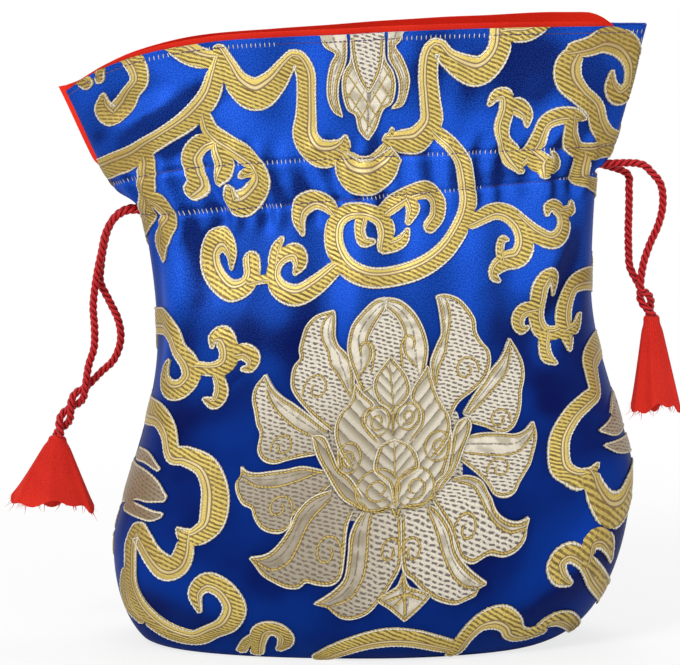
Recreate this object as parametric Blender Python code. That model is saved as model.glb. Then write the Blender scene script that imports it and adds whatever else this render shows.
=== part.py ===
"""Brocade drawstring bag: satin cloth woven with gold scrolls and a silver lotus.

The bag stands on an oval base with its front towards -Y. Two outer panels meet at side
seams. Each holds a lining panel, and a casing near the top holds two drawstrings. Both
ends of one string leave at the left, and both ends of the other leave at the right.
Each pair of ends is twisted together above a folded cloth tassel.

The cloth is drawn flat, in millimetres, and then wrapped on the form of the bag:
u runs across a panel from its middle, and v runs up the cloth from the base.
Woven figures stand a little proud of the satin, as the metal thread does.
"""
import math

import bpy
import numpy as np
from mathutils import Vector
from mathutils.geometry import delaunay_2d_cdt

MM = 0.001

# The level ovals of the bag, from the base to the mouth. CLOTH is the height up the cloth, RISE
# the height above the floor, SHIFT the centre's place along X, SLOPE how far the oval rises
# towards +X, in degrees, and ARCH how far its middle stands above its sides.
BASE_HALF_WIDTH = 0.0465
BASE_HALF_DEPTH = 0.0220

BELLY_CLOTH = 0.044
BELLY_RISE = 0.0370
BELLY_SHIFT = 0.0060
BELLY_HALF_WIDTH = 0.0657
BELLY_HALF_DEPTH = 0.0300
BELLY_SLOPE = 9.0

WAIST_CLOTH = 0.094
WAIST_RISE = 0.0840
WAIST_SHIFT = 0.0065
WAIST_HALF_WIDTH = 0.0545
WAIST_HALF_DEPTH = 0.0260
WAIST_SLOPE = 7.5

CASING_CLOTH = 0.122
CASING_RISE = 0.1112
CASING_SHIFT = 0.0054
CASING_HALF_WIDTH = 0.0563
CASING_HALF_DEPTH = 0.0165
CASING_SLOPE = 5.4

CASING_TOP_CLOTH = 0.133
CASING_TOP_RISE = 0.1190
CASING_TOP_SHIFT = 0.0032
CASING_TOP_HALF_WIDTH = 0.0618
CASING_TOP_HALF_DEPTH = 0.0135
CASING_TOP_SLOPE = 3.5
CASING_TOP_ARCH = 0.0025

MOUTH_CLOTH = 0.166
MOUTH_RISE = 0.1470
MOUTH_SHIFT = 0.0019
MOUTH_HALF_WIDTH = 0.0722
MOUTH_HALF_DEPTH = 0.0065
MOUTH_SLOPE = 6.6
MOUTH_ARCH = 0.0063

# The fronts of the ovals are flatter than an ellipse below this power of 1, and the arch of
# the mouth sits towards the left by this share.
OVAL_POWER = 0.78
ARCH_SKEW = 0.8

# Cloth. The half width is the drawing's own scale across a panel, in millimetres.
CLOTH_HALF_WIDTH = 72.0
OUTER_THICKNESS = 0.0009
LINING_THICKNESS = 0.0006
LINING_INSET = 0.0019
GAP = 0.0003
FLAP_OPENING = 0.0012
BASE_RIM_GAP = 0.00045

# Casing and cords
CORD_DIAMETER = 0.00235
CHANNEL_INSET = 0.0029
CHANNEL_FADE = 0.009
SIDE_OPENING = 6.8
OPENING_MARGIN = 0.0006
RUN_END = 0.952
CORD_END_GAP = 0.00036
CORD_STRAIGHT = 0.00141
TWIST_PITCH = 0.0125
TWIST_SPACING = 0.0018
HANGING_SPACING = 0.0048
LANE_MARGIN = 0.0031
LINING_CLEARANCE = 0.0012

# Woven relief
GOLD_RELIEF = 0.00040
PETAL_RELIEF = 0.00035
PETAL_STEP = 0.00020
OUTLINE_TOLERANCE = 0.9

# Tassels: half width and half depth of the hem, radius at the top, and where rings of points
# lie between the top and the hem
LEFT_TASSEL_HALF_WIDTH = 0.0106
RIGHT_TASSEL_HALF_WIDTH = 0.0062
TASSEL_HALF_DEPTH = 0.0032
TASSEL_FOLDS = 5
TASSEL_FOLD_DEPTH = 0.16
TASSEL_END_GAP = 0.00107
TASSEL_TOP = 0.00255
TASSEL_FLARE = 0.8
TASSEL_RINGS = (0.0, 0.1, 0.24, 0.45, 0.7, 1.0)
TASSEL_POINTS = 24

# Places on the flat cloth where the sheet is held to the form. Columns are shares of the half
# width. Rows are shares of the way from the base to the belly, from the belly to the casing and
# from the top of the casing to the mouth.
COLUMNS = (0.0, 0.22, 0.43, 0.61, 0.75, 0.86, 0.94, 1.0)
LINING_COLUMNS = (0.0, 0.25, 0.49, 0.7, 0.87, 1.0)
LOW_ROWS = (0.0, 0.1, 0.22, 0.38, 0.62, 1.0)
HIGH_ROWS = (0.2, 0.38, 0.54, 0.68, 0.84, 1.0)
FLAP_ROWS = (0.36, 0.7, 1.0)

# Flat drawing, in millimetres: how near a held point may come to a drawn line, how far rows stay
# from the side openings, and the distance at which two drawn points are one
HELD_CLEARANCE = 2.0
OPENING_CLEARANCE = 2.0
JOIN_DISTANCE = 0.03

# Scrolls, in millimetres: spacing of the points along one and its least width. A blunt point at
# each end stands out by this share of the half width.
SCROLL_SPACING = 1.2
SCROLL_LEAST_WIDTH = 0.8
SCROLL_POINT = 0.7

# Shading stays smooth across edges that turn by less than these angles, in degrees
CLOTH_SMOOTH_ANGLE = 35
TASSEL_SMOOTH_ANGLE = 50

# Gold scrolls: each is a run of points (u, v, width) in millimetres along its middle.
SCROLLS = (
    # Frame over the pendant, from the top left corner to the top right
    ((-33.6, 163.5, 3.4), (-31.8, 159.5, 4.2), (-29.8, 154.8, 6.4), (-25.6, 151.9, 8.2),
     (-21.0, 154.6, 6.2), (-17.2, 159.0, 4.2), (-14.8, 160.6, 4.2), (-12.8, 157.0, 4.6),
     (-12.9, 151.5, 4.6), (-13.4, 146.0, 5.2), (-14.0, 140.8, 6.6), (-11.5, 137.0, 7.0),
     (-7.5, 136.4, 6.6), (-4.4, 138.4, 4.4), (-3.6, 140.6, 1.0)),
    ((-5.6, 136.6, 3.0), (-3.2, 135.4, 3.2), (-0.5, 133.6, 3.8), (3.5, 133.8, 4.0),
     (7.0, 137.0, 3.6), (8.4, 142.0, 1.2)),
    ((8.0, 139.2, 4.4), (11.0, 139.0, 5.8), (15.0, 139.5, 6.6), (18.5, 143.5, 5.8),
     (18.2, 149.0, 5.0), (17.6, 155.0, 4.6), (18.0, 160.0, 4.4), (19.6, 162.0, 4.0),
     (22.2, 159.3, 4.2), (26.0, 156.8, 6.2), (29.5, 155.8, 7.0), (32.5, 157.8, 5.8),
     (34.3, 161.5, 5.0), (34.5, 167.0, 5.2)),
    ((36.4, 164.8, 4.4), (41.0, 165.0, 4.4), (45.5, 167.5, 4.4)),
    # Diagonal to the left edge, with the piece above it
    ((-34.0, 161.0, 3.4), (-36.4, 153.5, 4.6), (-39.8, 149.0, 5.0), (-44.3, 145.6, 4.6),
     (-49.8, 143.1, 4.2), (-55.4, 141.2, 4.8), (-60.0, 139.5, 6.0), (-66.0, 138.8, 6.4),
     (-73.0, 138.4, 6.4)),
    ((-43.0, 167.5, 6.0), (-40.0, 163.6, 5.4), (-36.8, 161.8, 4.8), (-34.0, 161.4, 4.0)),
    # Hook at the top left, and two pieces cut by the mouth
    ((-54.4, 167.5, 5.0), (-52.9, 163.0, 4.7), (-53.2, 159.3, 4.4), (-56.3, 156.8, 4.2),
     (-59.2, 154.0, 5.6), (-62.4, 152.5, 5.4), (-63.6, 155.6, 4.2), (-62.5, 158.8, 1.2)),
    ((-67.0, 167.5, 3.4), (-65.2, 164.0, 2.8)),
    ((-61.2, 167.5, 2.8), (-61.9, 163.4, 2.0)),
    # Left cloud
    ((-38.8, 146.8, 3.0), (-38.0, 142.8, 4.6), (-34.5, 139.8, 5.0), (-30.8, 137.3, 5.0),
     (-27.8, 133.8, 5.0), (-27.3, 130.6, 5.0), (-30.5, 127.6, 4.2), (-34.2, 125.8, 5.4),
     (-36.8, 126.2, 4.6), (-36.3, 128.6, 2.2)),
    ((-27.8, 133.0, 3.2), (-30.4, 132.2, 2.4), (-32.4, 131.4, 0.8)),
    ((-38.4, 141.0, 4.4), (-42.0, 139.8, 4.4), (-44.8, 137.0, 4.7), (-44.9, 133.2, 4.4),
     (-44.8, 130.4, 4.4), (-47.4, 128.9, 3.4)),
    ((-36.4, 138.5, 4.2), (-35.7, 135.2, 4.6), (-36.6, 132.6, 4.0), (-38.5, 130.6, 1.8)),
    # Left edge
    ((-56.7, 140.0, 4.0), (-56.9, 136.0, 4.0), (-58.2, 131.5, 4.0), (-62.0, 127.0, 4.0),
     (-67.0, 123.0, 4.6), (-73.0, 120.0, 5.0)),
    ((-60.0, 129.0, 2.4), (-57.2, 127.2, 4.4), (-56.6, 123.6, 4.2), (-59.0, 120.4, 5.4),
     (-60.6, 117.4, 6.2), (-59.6, 113.8, 1.6)),
    # Left lower scrolls
    ((-40.0, 110.6, 1.2), (-39.8, 114.0, 3.8), (-41.8, 117.0, 6.0), (-44.6, 117.0, 6.2),
     (-46.7, 114.4, 5.0), (-46.3, 110.8, 4.6), (-43.6, 107.5, 4.6), (-39.6, 105.5, 4.6),
     (-35.5, 106.2, 4.2), (-33.4, 108.6, 4.4), (-33.5, 111.8, 4.6)),
    ((-34.0, 107.3, 2.6), (-30.5, 107.6, 1.8), (-27.6, 107.5, 3.0)),
    ((-21.2, 108.4, 1.2), (-20.0, 110.4, 3.6), (-20.9, 112.9, 4.0), (-23.8, 112.9, 3.6),
     (-26.6, 111.0, 3.8), (-27.3, 107.8, 4.0), (-25.0, 104.8, 4.2), (-20.5, 103.3, 4.6),
     (-15.8, 105.0, 4.6), (-10.6, 108.2, 3.6)),
    ((-27.0, 111.5, 3.4), (-26.4, 114.3, 2.8), (-24.9, 116.4, 1.4)),
    # Great loop under the pendant
    ((20.2, 141.0, 3.2), (24.0, 137.5, 3.8), (26.8, 133.0, 4.0), (27.4, 127.0, 4.2),
     (27.0, 120.5, 4.2), (24.8, 115.0, 4.4), (20.0, 109.8, 4.6), (13.0, 106.3, 4.6),
     (5.0, 105.0, 4.4), (-2.0, 105.8, 4.4), (-7.8, 109.0, 4.8), (-10.6, 114.0, 5.2),
     (-9.8, 119.3, 4.8), (-6.0, 122.0, 4.2), (-1.0, 121.6, 4.2), (2.8, 119.4, 4.4),
     (4.0, 115.8, 4.6), (3.0, 112.4, 3.4)),
    ((3.2, 112.3, 3.4), (6.3, 112.4, 3.2), (8.6, 113.4, 2.8), (9.9, 115.4, 1.2)),
    ((-2.4, 120.4, 3.4), (-3.2, 117.0, 2.6), (-2.4, 114.2, 2.6), (0.2, 113.8, 1.2)),
    ((3.4, 120.8, 4.2), (7.5, 123.3, 4.4), (12.0, 125.2, 4.2), (16.4, 126.0, 4.8),
     (18.9, 122.8, 4.2), (18.5, 118.5, 4.2), (16.2, 116.0, 3.6)),
    ((11.2, 124.2, 3.6), (11.8, 120.8, 3.4), (10.3, 117.6, 1.6)),
    ((-10.2, 122.4, 3.0), (-12.0, 124.6, 4.4), (-15.5, 125.4, 4.2), (-19.0, 123.9, 4.4),
     (-20.0, 121.0, 3.4), (-19.1, 117.2, 1.0)),
    # Right scrolls
    ((27.6, 115.8, 3.6), (31.0, 117.0, 4.0), (35.0, 117.8, 4.4), (38.8, 116.6, 4.6),
     (41.6, 113.2, 4.4), (42.0, 108.8, 4.2), (40.0, 105.4, 4.6), (36.4, 105.0, 4.4),
     (33.2, 103.8, 3.6), (32.1, 101.9, 2.6), (33.6, 100.5, 0.8)),
    ((35.2, 105.5, 3.0), (35.0, 108.3, 2.4), (36.2, 110.2, 2.0), (37.7, 110.0, 0.8)),
    ((41.4, 115.0, 3.0), (44.5, 110.8, 4.0), (48.3, 108.4, 4.0), (52.0, 110.0, 4.2),
     (53.4, 113.6, 4.0), (51.8, 116.6, 4.0), (49.4, 117.2, 3.2), (48.3, 115.2, 1.0)),
    ((53.8, 115.0, 3.4), (56.4, 115.2, 2.8), (57.2, 117.4, 1.0)),
    # Right cloud
    ((32.7, 147.8, 1.0), (34.2, 149.9, 2.6), (36.6, 149.8, 3.4), (37.2, 146.5, 3.8),
     (36.4, 142.5, 3.8), (37.2, 138.8, 3.6), (40.4, 134.0, 5.2), (42.7, 130.0, 2.2)),
    ((37.6, 147.4, 3.2), (40.3, 147.0, 4.2), (42.7, 145.0, 3.2), (42.9, 142.6, 1.2)),
    ((42.3, 132.6, 4.0), (45.2, 136.0, 4.2), (46.4, 140.2, 3.4), (48.0, 143.2, 3.6),
     (51.5, 144.7, 4.0), (55.4, 144.6, 3.6), (58.4, 144.0, 1.0)),
    ((54.6, 144.0, 3.2), (54.7, 139.8, 4.0), (57.3, 136.0, 4.4), (61.5, 134.8, 5.0),
     (67.0, 135.6, 5.4), (73.0, 135.0, 5.4)),
    ((45.6, 134.6, 4.2), (48.0, 131.6, 5.4), (51.2, 130.8, 4.8), (51.4, 133.2, 3.0),
     (49.8, 135.2, 1.0)),
    ((48.6, 131.2, 4.6), (48.5, 127.6, 2.0)),
    # Right top frame
    ((54.4, 160.4, 4.2), (52.6, 156.8, 6.2), (53.3, 153.0, 6.0), (56.6, 149.6, 5.0),
     (61.0, 146.5, 5.0), (63.3, 142.0, 4.6), (66.5, 138.2, 5.6), (73.0, 136.0, 6.0)),
    ((53.6, 160.4, 3.8), (57.5, 161.3, 4.6), (61.6, 162.8, 6.2), (66.2, 161.2, 6.0),
     (69.4, 156.8, 4.8), (70.2, 151.5, 5.0), (67.2, 149.2, 4.4), (64.7, 151.6, 3.0),
     (64.3, 155.0, 0.8)),
    ((59.6, 133.6, 4.0), (59.8, 129.0, 4.4), (60.7, 125.0, 4.8), (64.5, 122.4, 4.2),
     (73.0, 118.6, 4.8)),
    # Left middle spiral and its flower
    ((-73.0, 98.0, 6.0), (-66.0, 98.8, 6.0), (-59.0, 98.9, 6.0), (-55.0, 96.6, 5.0),
     (-53.0, 92.8, 4.2), (-50.2, 89.6, 4.6), (-48.9, 86.0, 5.2), (-51.2, 83.0, 5.0),
     (-55.0, 82.8, 4.8), (-57.8, 85.2, 4.4), (-57.5, 88.2, 2.6), (-56.4, 89.8, 1.0)),
    ((-47.4, 87.8, 3.4), (-44.0, 87.5, 3.0), (-40.6, 87.6, 4.4), (-38.6, 89.2, 5.0),
     (-38.7, 92.4, 4.8), (-40.4, 95.2, 5.0), (-43.0, 95.2, 3.2), (-43.2, 93.1, 1.0)),
    ((-38.4, 90.6, 4.2), (-34.8, 91.2, 3.8), (-32.3, 89.4, 3.8), (-32.7, 87.1, 2.6),
     (-34.7, 86.9, 0.8)),
    ((-41.6, 86.8, 3.0), (-40.2, 84.0, 3.0), (-39.7, 81.0, 3.8), (-41.0, 79.0, 3.2),
     (-44.1, 80.1, 0.8)),
    # Left lower frame
    ((-73.0, 76.0, 6.5), (-65.0, 76.4, 6.5), (-58.5, 76.0, 5.8), (-53.8, 72.4, 5.0),
     (-50.7, 66.6, 4.4), (-46.5, 65.8, 4.6), (-41.0, 63.2, 5.2), (-37.9, 58.5, 6.0),
     (-36.7, 53.0, 6.8), (-37.2, 47.6, 6.2), (-41.0, 45.0, 4.6), (-43.4, 45.6, 3.6),
     (-45.2, 47.3, 1.0)),
    ((-42.8, 44.8, 3.6), (-43.3, 41.4, 4.8), (-44.9, 38.4, 5.4), (-47.8, 37.8, 6.0),
     (-51.2, 40.6, 5.0), (-54.2, 44.4, 4.6), (-57.2, 47.2, 4.2), (-58.2, 43.5, 3.8),
     (-57.8, 38.0, 3.6), (-57.9, 32.0, 4.6), (-56.8, 26.0, 6.0), (-53.0, 20.5, 6.0),
     (-48.5, 16.8, 6.4), (-43.5, 15.6, 6.0), (-38.5, 18.8, 5.2), (-33.8, 22.0, 5.4),
     (-31.6, 27.0, 5.4), (-33.8, 31.8, 4.8), (-37.8, 33.8, 4.6), (-40.6, 31.3, 3.4),
     (-39.9, 26.6, 1.0)),
    ((-59.6, 36.5, 2.0), (-61.0, 31.0, 4.2), (-61.0, 26.0, 4.0), (-58.0, 22.2, 3.0)),
    # Along the bottom
    ((-31.8, 10.0, 3.0), (-29.6, 14.6, 3.2), (-27.2, 17.4, 3.0)),
    ((-27.6, 9.0, 3.8), (-27.0, 14.0, 4.0), (-25.5, 19.3, 5.0), (-22.0, 20.2, 4.4),
     (-19.5, 17.5, 4.2), (-19.8, 13.8, 3.8), (-21.0, 11.6, 2.4)),
    ((-8.6, 7.5, 6.6), (-5.5, 12.2, 6.6), (-0.5, 16.0, 6.0), (5.5, 17.6, 5.8),
     (12.0, 17.0, 5.0), (18.5, 14.8, 4.6), (26.0, 11.6, 4.4)),
    ((27.0, 9.5, 4.4), (26.9, 15.0, 4.6), (29.0, 19.3, 5.2), (33.2, 20.4, 5.8),
     (37.4, 18.4, 5.0), (40.8, 15.0, 4.6), (44.8, 13.4, 4.6), (49.0, 14.0, 3.6)),
    ((47.8, 13.4, 3.0), (49.2, 17.2, 4.2), (53.0, 17.6, 4.0), (57.5, 15.8, 3.6),
     (63.0, 13.0, 3.0)),
    # Right middle flower and scroll
    ((48.6, 94.6, 0.8), (48.2, 98.2, 3.0), (46.6, 99.8, 3.8), (44.4, 97.4, 4.2),
     (44.0, 93.5, 4.4), (44.0, 89.0, 4.2), (45.4, 85.4, 4.2), (48.6, 84.2, 3.6),
     (52.0, 84.8, 4.0)),
    ((43.4, 92.0, 3.6), (40.0, 91.8, 3.8), (38.4, 89.4, 3.6), (39.4, 87.0, 2.6),
     (41.3, 87.2, 0.8)),
    ((46.2, 84.2, 3.4), (45.1, 81.0, 3.0), (45.2, 78.3, 3.2), (47.0, 76.5, 1.2)),
    ((73.0, 94.0, 6.0), (66.0, 95.6, 6.0), (60.0, 96.4, 5.4), (55.8, 95.4, 4.6),
     (53.3, 91.6, 4.8), (52.2, 87.2, 4.8), (52.6, 82.8, 4.2), (52.4, 79.2, 1.4)),
    ((53.2, 83.8, 3.6), (56.0, 84.5, 3.0), (57.8, 87.4, 1.2)),
    # Right lower frame
    ((73.0, 76.5, 7.0), (66.0, 76.8, 7.4), (60.2, 74.6, 7.0), (58.7, 70.5, 5.4),
     (57.4, 65.8, 4.2), (53.5, 64.2, 4.6), (48.6, 61.8, 4.8), (44.4, 57.2, 5.0),
     (43.0, 52.0, 5.0), (43.4, 47.6, 5.0), (46.6, 44.8, 4.4), (50.0, 44.8, 3.6),
     (52.0, 46.8, 1.0)),
    ((49.8, 44.6, 3.6), (51.2, 41.4, 4.4), (54.4, 38.4, 5.2), (58.6, 38.0, 5.4),
     (63.0, 40.2, 5.0), (68.0, 41.0, 5.0), (73.0, 40.5, 5.0)),
    ((48.4, 26.8, 0.8), (45.0, 28.4, 3.0), (43.4, 31.0, 4.0), (45.8, 32.6, 3.2),
     (49.2, 31.4, 3.0), (52.0, 29.5, 3.2), (56.3, 26.6, 4.0), (61.5, 23.8, 4.0),
     (68.0, 21.2, 4.0)),
    ((50.6, 30.8, 3.4), (50.7, 33.8, 3.4), (53.4, 34.2, 3.2), (56.6, 32.4, 2.6),
     (59.3, 29.6, 0.8)),
)

# Silver leaves of the side flowers, as scrolls
SIDE_LEAVES = (
    ((-73.0, 58.0, 10.0), (-66.0, 58.2, 9.4), (-60.0, 58.4, 7.4), (-55.0, 57.0, 5.6),
     (-51.0, 55.4, 2.0)),
    ((-66.0, 65.6, 3.0), (-60.0, 65.2, 2.6), (-54.3, 62.6, 0.8)),
    ((-64.0, 53.0, 3.0), (-58.0, 51.8, 2.8), (-53.5, 50.8, 2.4), (-50.8, 51.0, 1.2)),
    ((73.0, 56.5, 6.4), (66.0, 56.2, 6.2), (60.5, 55.0, 4.8), (55.4, 55.4, 0.8)),
    ((73.0, 47.8, 4.8), (66.0, 48.6, 4.4), (60.0, 49.4, 3.4), (55.6, 51.0, 0.8)),
    ((73.0, 61.6, 3.0), (66.0, 60.8, 2.6), (61.5, 58.8, 0.8)),
)

# Gold lobe between the two halves of the frame
LOBE = ((-6.7, 134.2), (-6.8, 130.8), (-5.4, 127.8), (-2.6, 126.2), (1.8, 126.0), (5.8, 127.6),
        (9.0, 130.6), (10.5, 134.3), (8.0, 137.6), (4.0, 135.0), (-1.0, 134.8), (-4.0, 137.0))

# Silver pendant at the mouth: its body and its two leaves
PENDANT = ((-1.5, 167.5), (-1.4, 160.0), (-3.3, 156.3), (-3.7, 151.9), (-2.7, 147.5),
           (-0.8, 146.0), (0.0, 142.2), (2.1, 139.6), (4.3, 142.7), (6.1, 147.1), (8.4, 148.8),
           (9.3, 152.8), (8.7, 156.3), (6.8, 160.0), (7.0, 167.5))
PENDANT_LEAVES = (
    ((-9.0, 167.5), (-7.6, 163.4), (-4.4, 162.2), (-6.2, 159.0), (-7.2, 155.0), (-7.4, 150.6),
     (-6.2, 147.1), (-4.4, 145.4), (-3.2, 146.2), (-4.4, 147.6), (-4.9, 150.6), (-4.5, 154.6),
     (-2.6, 159.0), (-2.2, 167.5)),
    ((12.4, 167.5), (10.6, 163.8), (8.6, 162.6), (11.2, 159.4), (12.8, 154.6), (12.2, 150.6),
     (10.9, 148.0), (8.2, 147.3), (9.8, 149.2), (10.4, 152.8), (9.6, 156.3), (7.7, 159.4),
     (7.8, 167.5)),
)

# Lotus, lowest petals first. Each outline is a closed run of points (u, v).
OUTER_PETALS = (
    ((-12.6, 28.1), (-8.4, 25.4), (-4.8, 23.9), (-1.2, 24.5), (3.0, 27.8), (6.9, 33.5),
     (8.6, 37.0), (8.0, 48.0), (-3.0, 46.4), (-6.6, 38.0), (-6.9, 32.6)),
    ((27.3, 29.0), (22.8, 31.4), (19.2, 35.0), (16.2, 41.0), (13.2, 46.5), (5.0, 48.0),
     (5.2, 36.6), (7.2, 33.2), (14.4, 27.8), (18.6, 25.6), (22.2, 25.1), (25.2, 26.6)),
    ((-27.3, 39.5), (-25.2, 36.2), (-22.2, 33.5), (-18.0, 32.0), (-13.5, 33.2), (-10.2, 32.3),
     (-7.0, 33.4), (-6.4, 39.0), (-3.0, 46.8), (-8.0, 54.0), (-15.0, 51.2), (-18.9, 44.6)),
    ((35.3, 39.8), (28.4, 42.6), (24.8, 49.0), (19.8, 53.5), (12.4, 47.0), (14.0, 41.0),
     (16.8, 35.2), (21.2, 33.2), (25.5, 34.4), (28.8, 33.2), (32.6, 33.4), (34.8, 36.2)),
    ((-31.3, 62.2), (-32.1, 57.0), (-30.6, 53.0), (-27.4, 50.4), (-24.6, 45.2), (-21.6, 44.0),
     (-18.6, 44.6), (-14.6, 51.4), (-8.4, 55.0), (-12.0, 61.0), (-20.0, 62.0), (-26.0, 60.2)),
    ((37.6, 62.6), (32.4, 60.6), (26.5, 62.0), (19.0, 60.6), (16.0, 54.8), (21.6, 52.4),
     (27.6, 44.9), (31.2, 44.0), (33.6, 47.0), (34.2, 50.6), (37.4, 54.8), (38.1, 59.4)),
    ((-28.5, 85.1), (-31.1, 79.4), (-30.0, 74.0), (-27.9, 68.0), (-27.0, 63.6), (-24.0, 61.2),
     (-14.4, 60.6), (-9.6, 67.0), (-12.0, 71.8), (-21.6, 79.4)),
    ((34.9, 85.4), (27.6, 77.6), (20.6, 70.0), (18.0, 66.6), (20.0, 60.8), (31.2, 61.2),
     (34.8, 64.4), (36.2, 71.0), (37.7, 78.2)),
    ((-10.8, 99.3), (-18.0, 94.6), (-19.6, 86.8), (-21.4, 83.6), (-20.6, 78.6), (-12.0, 71.8),
     (-9.0, 68.4), (-4.6, 76.0), (-5.2, 85.0), (-9.6, 91.4)),
    ((16.5, 99.0), (16.4, 93.4), (12.9, 84.6), (12.4, 76.0), (19.0, 69.6), (27.8, 77.2),
     (29.0, 82.6), (26.4, 87.4), (25.6, 92.4), (21.8, 97.6)),
    ((2.5, 100.7), (-2.6, 98.8), (-6.2, 92.6), (-6.4, 87.6), (-4.0, 80.0), (3.5, 76.0),
     (11.0, 78.0), (13.2, 87.0), (12.4, 93.0), (8.6, 98.6)),
    ((7.2, 32.4), (5.8, 29.2), (2.6, 26.4), (5.0, 24.3), (9.6, 22.6), (13.2, 24.9),
     (13.4, 26.8), (9.6, 28.8)),
)
INNER_PETALS = (
    ((-5.4, 80.0), (-10.0, 68.6), (-12.8, 60.6), (-7.8, 53.6), (-3.0, 46.6), (4.6, 47.6),
     (12.6, 46.8), (18.2, 53.0), (21.6, 66.6), (17.6, 70.6), (12.4, 80.0), (8.6, 72.6),
     (4.8, 71.0), (0.0, 74.0)),
    ((3.4, 86.0), (-0.8, 80.2), (0.6, 73.6), (4.8, 70.4), (8.6, 73.8), (9.6, 77.0), (7.4, 82.0)),
)
HEART_PETALS = (
    ((4.8, 64.6), (0.6, 62.6), (-1.0, 58.4), (-4.0, 55.0), (-4.0, 49.4), (0.2, 46.6),
     (4.8, 47.6), (9.6, 46.6), (13.8, 49.4), (13.8, 55.0), (10.6, 58.4), (9.2, 62.4)),
)

# Routes of the free cord ends, from their openings down to the tassels. Each pair is chosen by
# hand: the middle of both where they run together, and each strand's own path where they part.
LEFT_FRONT_ROUTE = (
    (-0.0592, -0.0021, 0.1080), (-0.0608, -0.0017, 0.1030), (-0.0618, -0.0016, 0.0965),
    (-0.0629, -0.0016, 0.0905), (-0.0635, -0.0018, 0.0850), (-0.0632, -0.0020, 0.0795),
    (-0.0634, -0.0019, 0.0745), (-0.0648, -0.0016, 0.0700),
)
LEFT_BACK_ROUTE = (
    (-0.0588, 0.0022, 0.1084), (-0.0604, 0.0018, 0.1030), (-0.0614, 0.0016, 0.0965),
    (-0.0618, 0.0015, 0.0905), (-0.0597, 0.0012, 0.0860), (-0.0574, 0.0008, 0.0810),
    (-0.0569, 0.0006, 0.0760), (-0.0586, 0.0007, 0.0712), (-0.0618, 0.0010, 0.0680),
)
LEFT_TWIST = ((-0.0658, 0.0, 0.0640), (-0.0688, 0.0, 0.0600), (-0.0713, 0.0, 0.0556),
              (-0.0729, 0.0, 0.0514))
RIGHT_FRONT_ROUTE = (
    (0.0716, -0.0037, 0.1210), (0.0752, -0.0040, 0.1186), (0.0774, -0.0042, 0.1155),
    (0.0778, -0.0048, 0.1108), (0.0767, -0.0056, 0.1060), (0.0745, -0.0064, 0.1010),
    (0.0729, -0.0072, 0.0960),
)
RIGHT_BACK_ROUTE = (
    (0.0692, 0.0026, 0.1180), (0.0699, 0.0018, 0.1140), (0.0699, 0.0010, 0.1090),
    (0.0697, -0.0004, 0.1040), (0.0697, -0.0022, 0.0990), (0.0700, -0.0040, 0.0950),
)
RIGHT_TWIST = ((0.0724, -0.0064, 0.0903), (0.0741, -0.0066, 0.0866), (0.0752, -0.0066, 0.0832))
LEFT_HEM = (-0.0744, 0.0, 0.0346)
RIGHT_HEM = (0.0766, -0.0068, 0.0604)


def level_table():
    """Rows of cloth height, shift, rise, half width, half depth, slope and arch."""
    return np.array((
        (BELLY_CLOTH, BELLY_SHIFT, BELLY_RISE, BELLY_HALF_WIDTH, BELLY_HALF_DEPTH,
         BELLY_SLOPE, 0.0),
        (WAIST_CLOTH, WAIST_SHIFT, WAIST_RISE, WAIST_HALF_WIDTH, WAIST_HALF_DEPTH,
         WAIST_SLOPE, 0.0),
        (CASING_CLOTH, CASING_SHIFT, CASING_RISE, CASING_HALF_WIDTH, CASING_HALF_DEPTH,
         CASING_SLOPE, 0.0),
        (CASING_TOP_CLOTH, CASING_TOP_SHIFT, CASING_TOP_RISE, CASING_TOP_HALF_WIDTH,
         CASING_TOP_HALF_DEPTH, CASING_TOP_SLOPE, CASING_TOP_ARCH),
        (MOUTH_CLOTH, MOUTH_SHIFT, MOUTH_RISE, MOUTH_HALF_WIDTH, MOUTH_HALF_DEPTH,
         MOUTH_SLOPE, MOUTH_ARCH),
    ))


LEVELS = level_table()


def between_levels(cloth, column):
    """Smooth value of one column of the level table, with no overshoot between its rows."""
    xs = LEVELS[:, 0]
    ys = LEVELS[:, column]
    step = np.diff(xs)
    slope = np.diff(ys) / step
    product = slope[:-1] * slope[1:]
    total = np.where(slope[:-1] + slope[1:] == 0, 1.0, slope[:-1] + slope[1:])
    tangent = np.zeros_like(ys)
    tangent[1:-1] = np.where(product > 0, 2 * product / total, 0.0)
    tangent[0] = slope[0]
    tangent[-1] = slope[-1]
    i = np.clip(np.searchsorted(xs, cloth) - 1, 0, len(step) - 1)
    t = (cloth - xs[i]) / step[i]
    return ((2 * t**3 - 3 * t**2 + 1) * ys[i] + (t**3 - 2 * t**2 + t) * step[i] * tangent[i]
            + (3 * t**2 - 2 * t**3) * ys[i + 1] + (t**3 - t**2) * step[i] * tangent[i + 1])


def oval_at(cloth, inset):
    """Centre, half sizes, slope and arch of the oval at a height up the cloth.

    Up to the belly the wall is a quarter ellipse that starts level at the base's rim.
    """
    turn = np.clip(cloth / BELLY_CLOTH, 0, 1) * math.pi / 2
    low = cloth <= BELLY_CLOTH
    high = np.maximum(cloth, BELLY_CLOTH)
    out = np.sin(turn)
    lift = 1 - np.cos(turn)
    shift = np.where(low, BELLY_SHIFT * out, between_levels(high, 1))
    rise = np.where(low, BELLY_RISE - (BELLY_RISE - inset) * np.cos(turn), between_levels(high, 2))
    half_width = np.where(low, BASE_HALF_WIDTH + (BELLY_HALF_WIDTH - BASE_HALF_WIDTH) * out,
                          between_levels(high, 3))
    half_depth = np.where(low, BASE_HALF_DEPTH + (BELLY_HALF_DEPTH - BASE_HALF_DEPTH) * out,
                          between_levels(high, 4))
    slope = np.radians(np.where(low, BELLY_SLOPE * lift, between_levels(high, 5)))
    arch = np.where(low, 0.0, between_levels(high, 6))
    return shift, rise, half_width, half_depth, slope, arch


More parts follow.
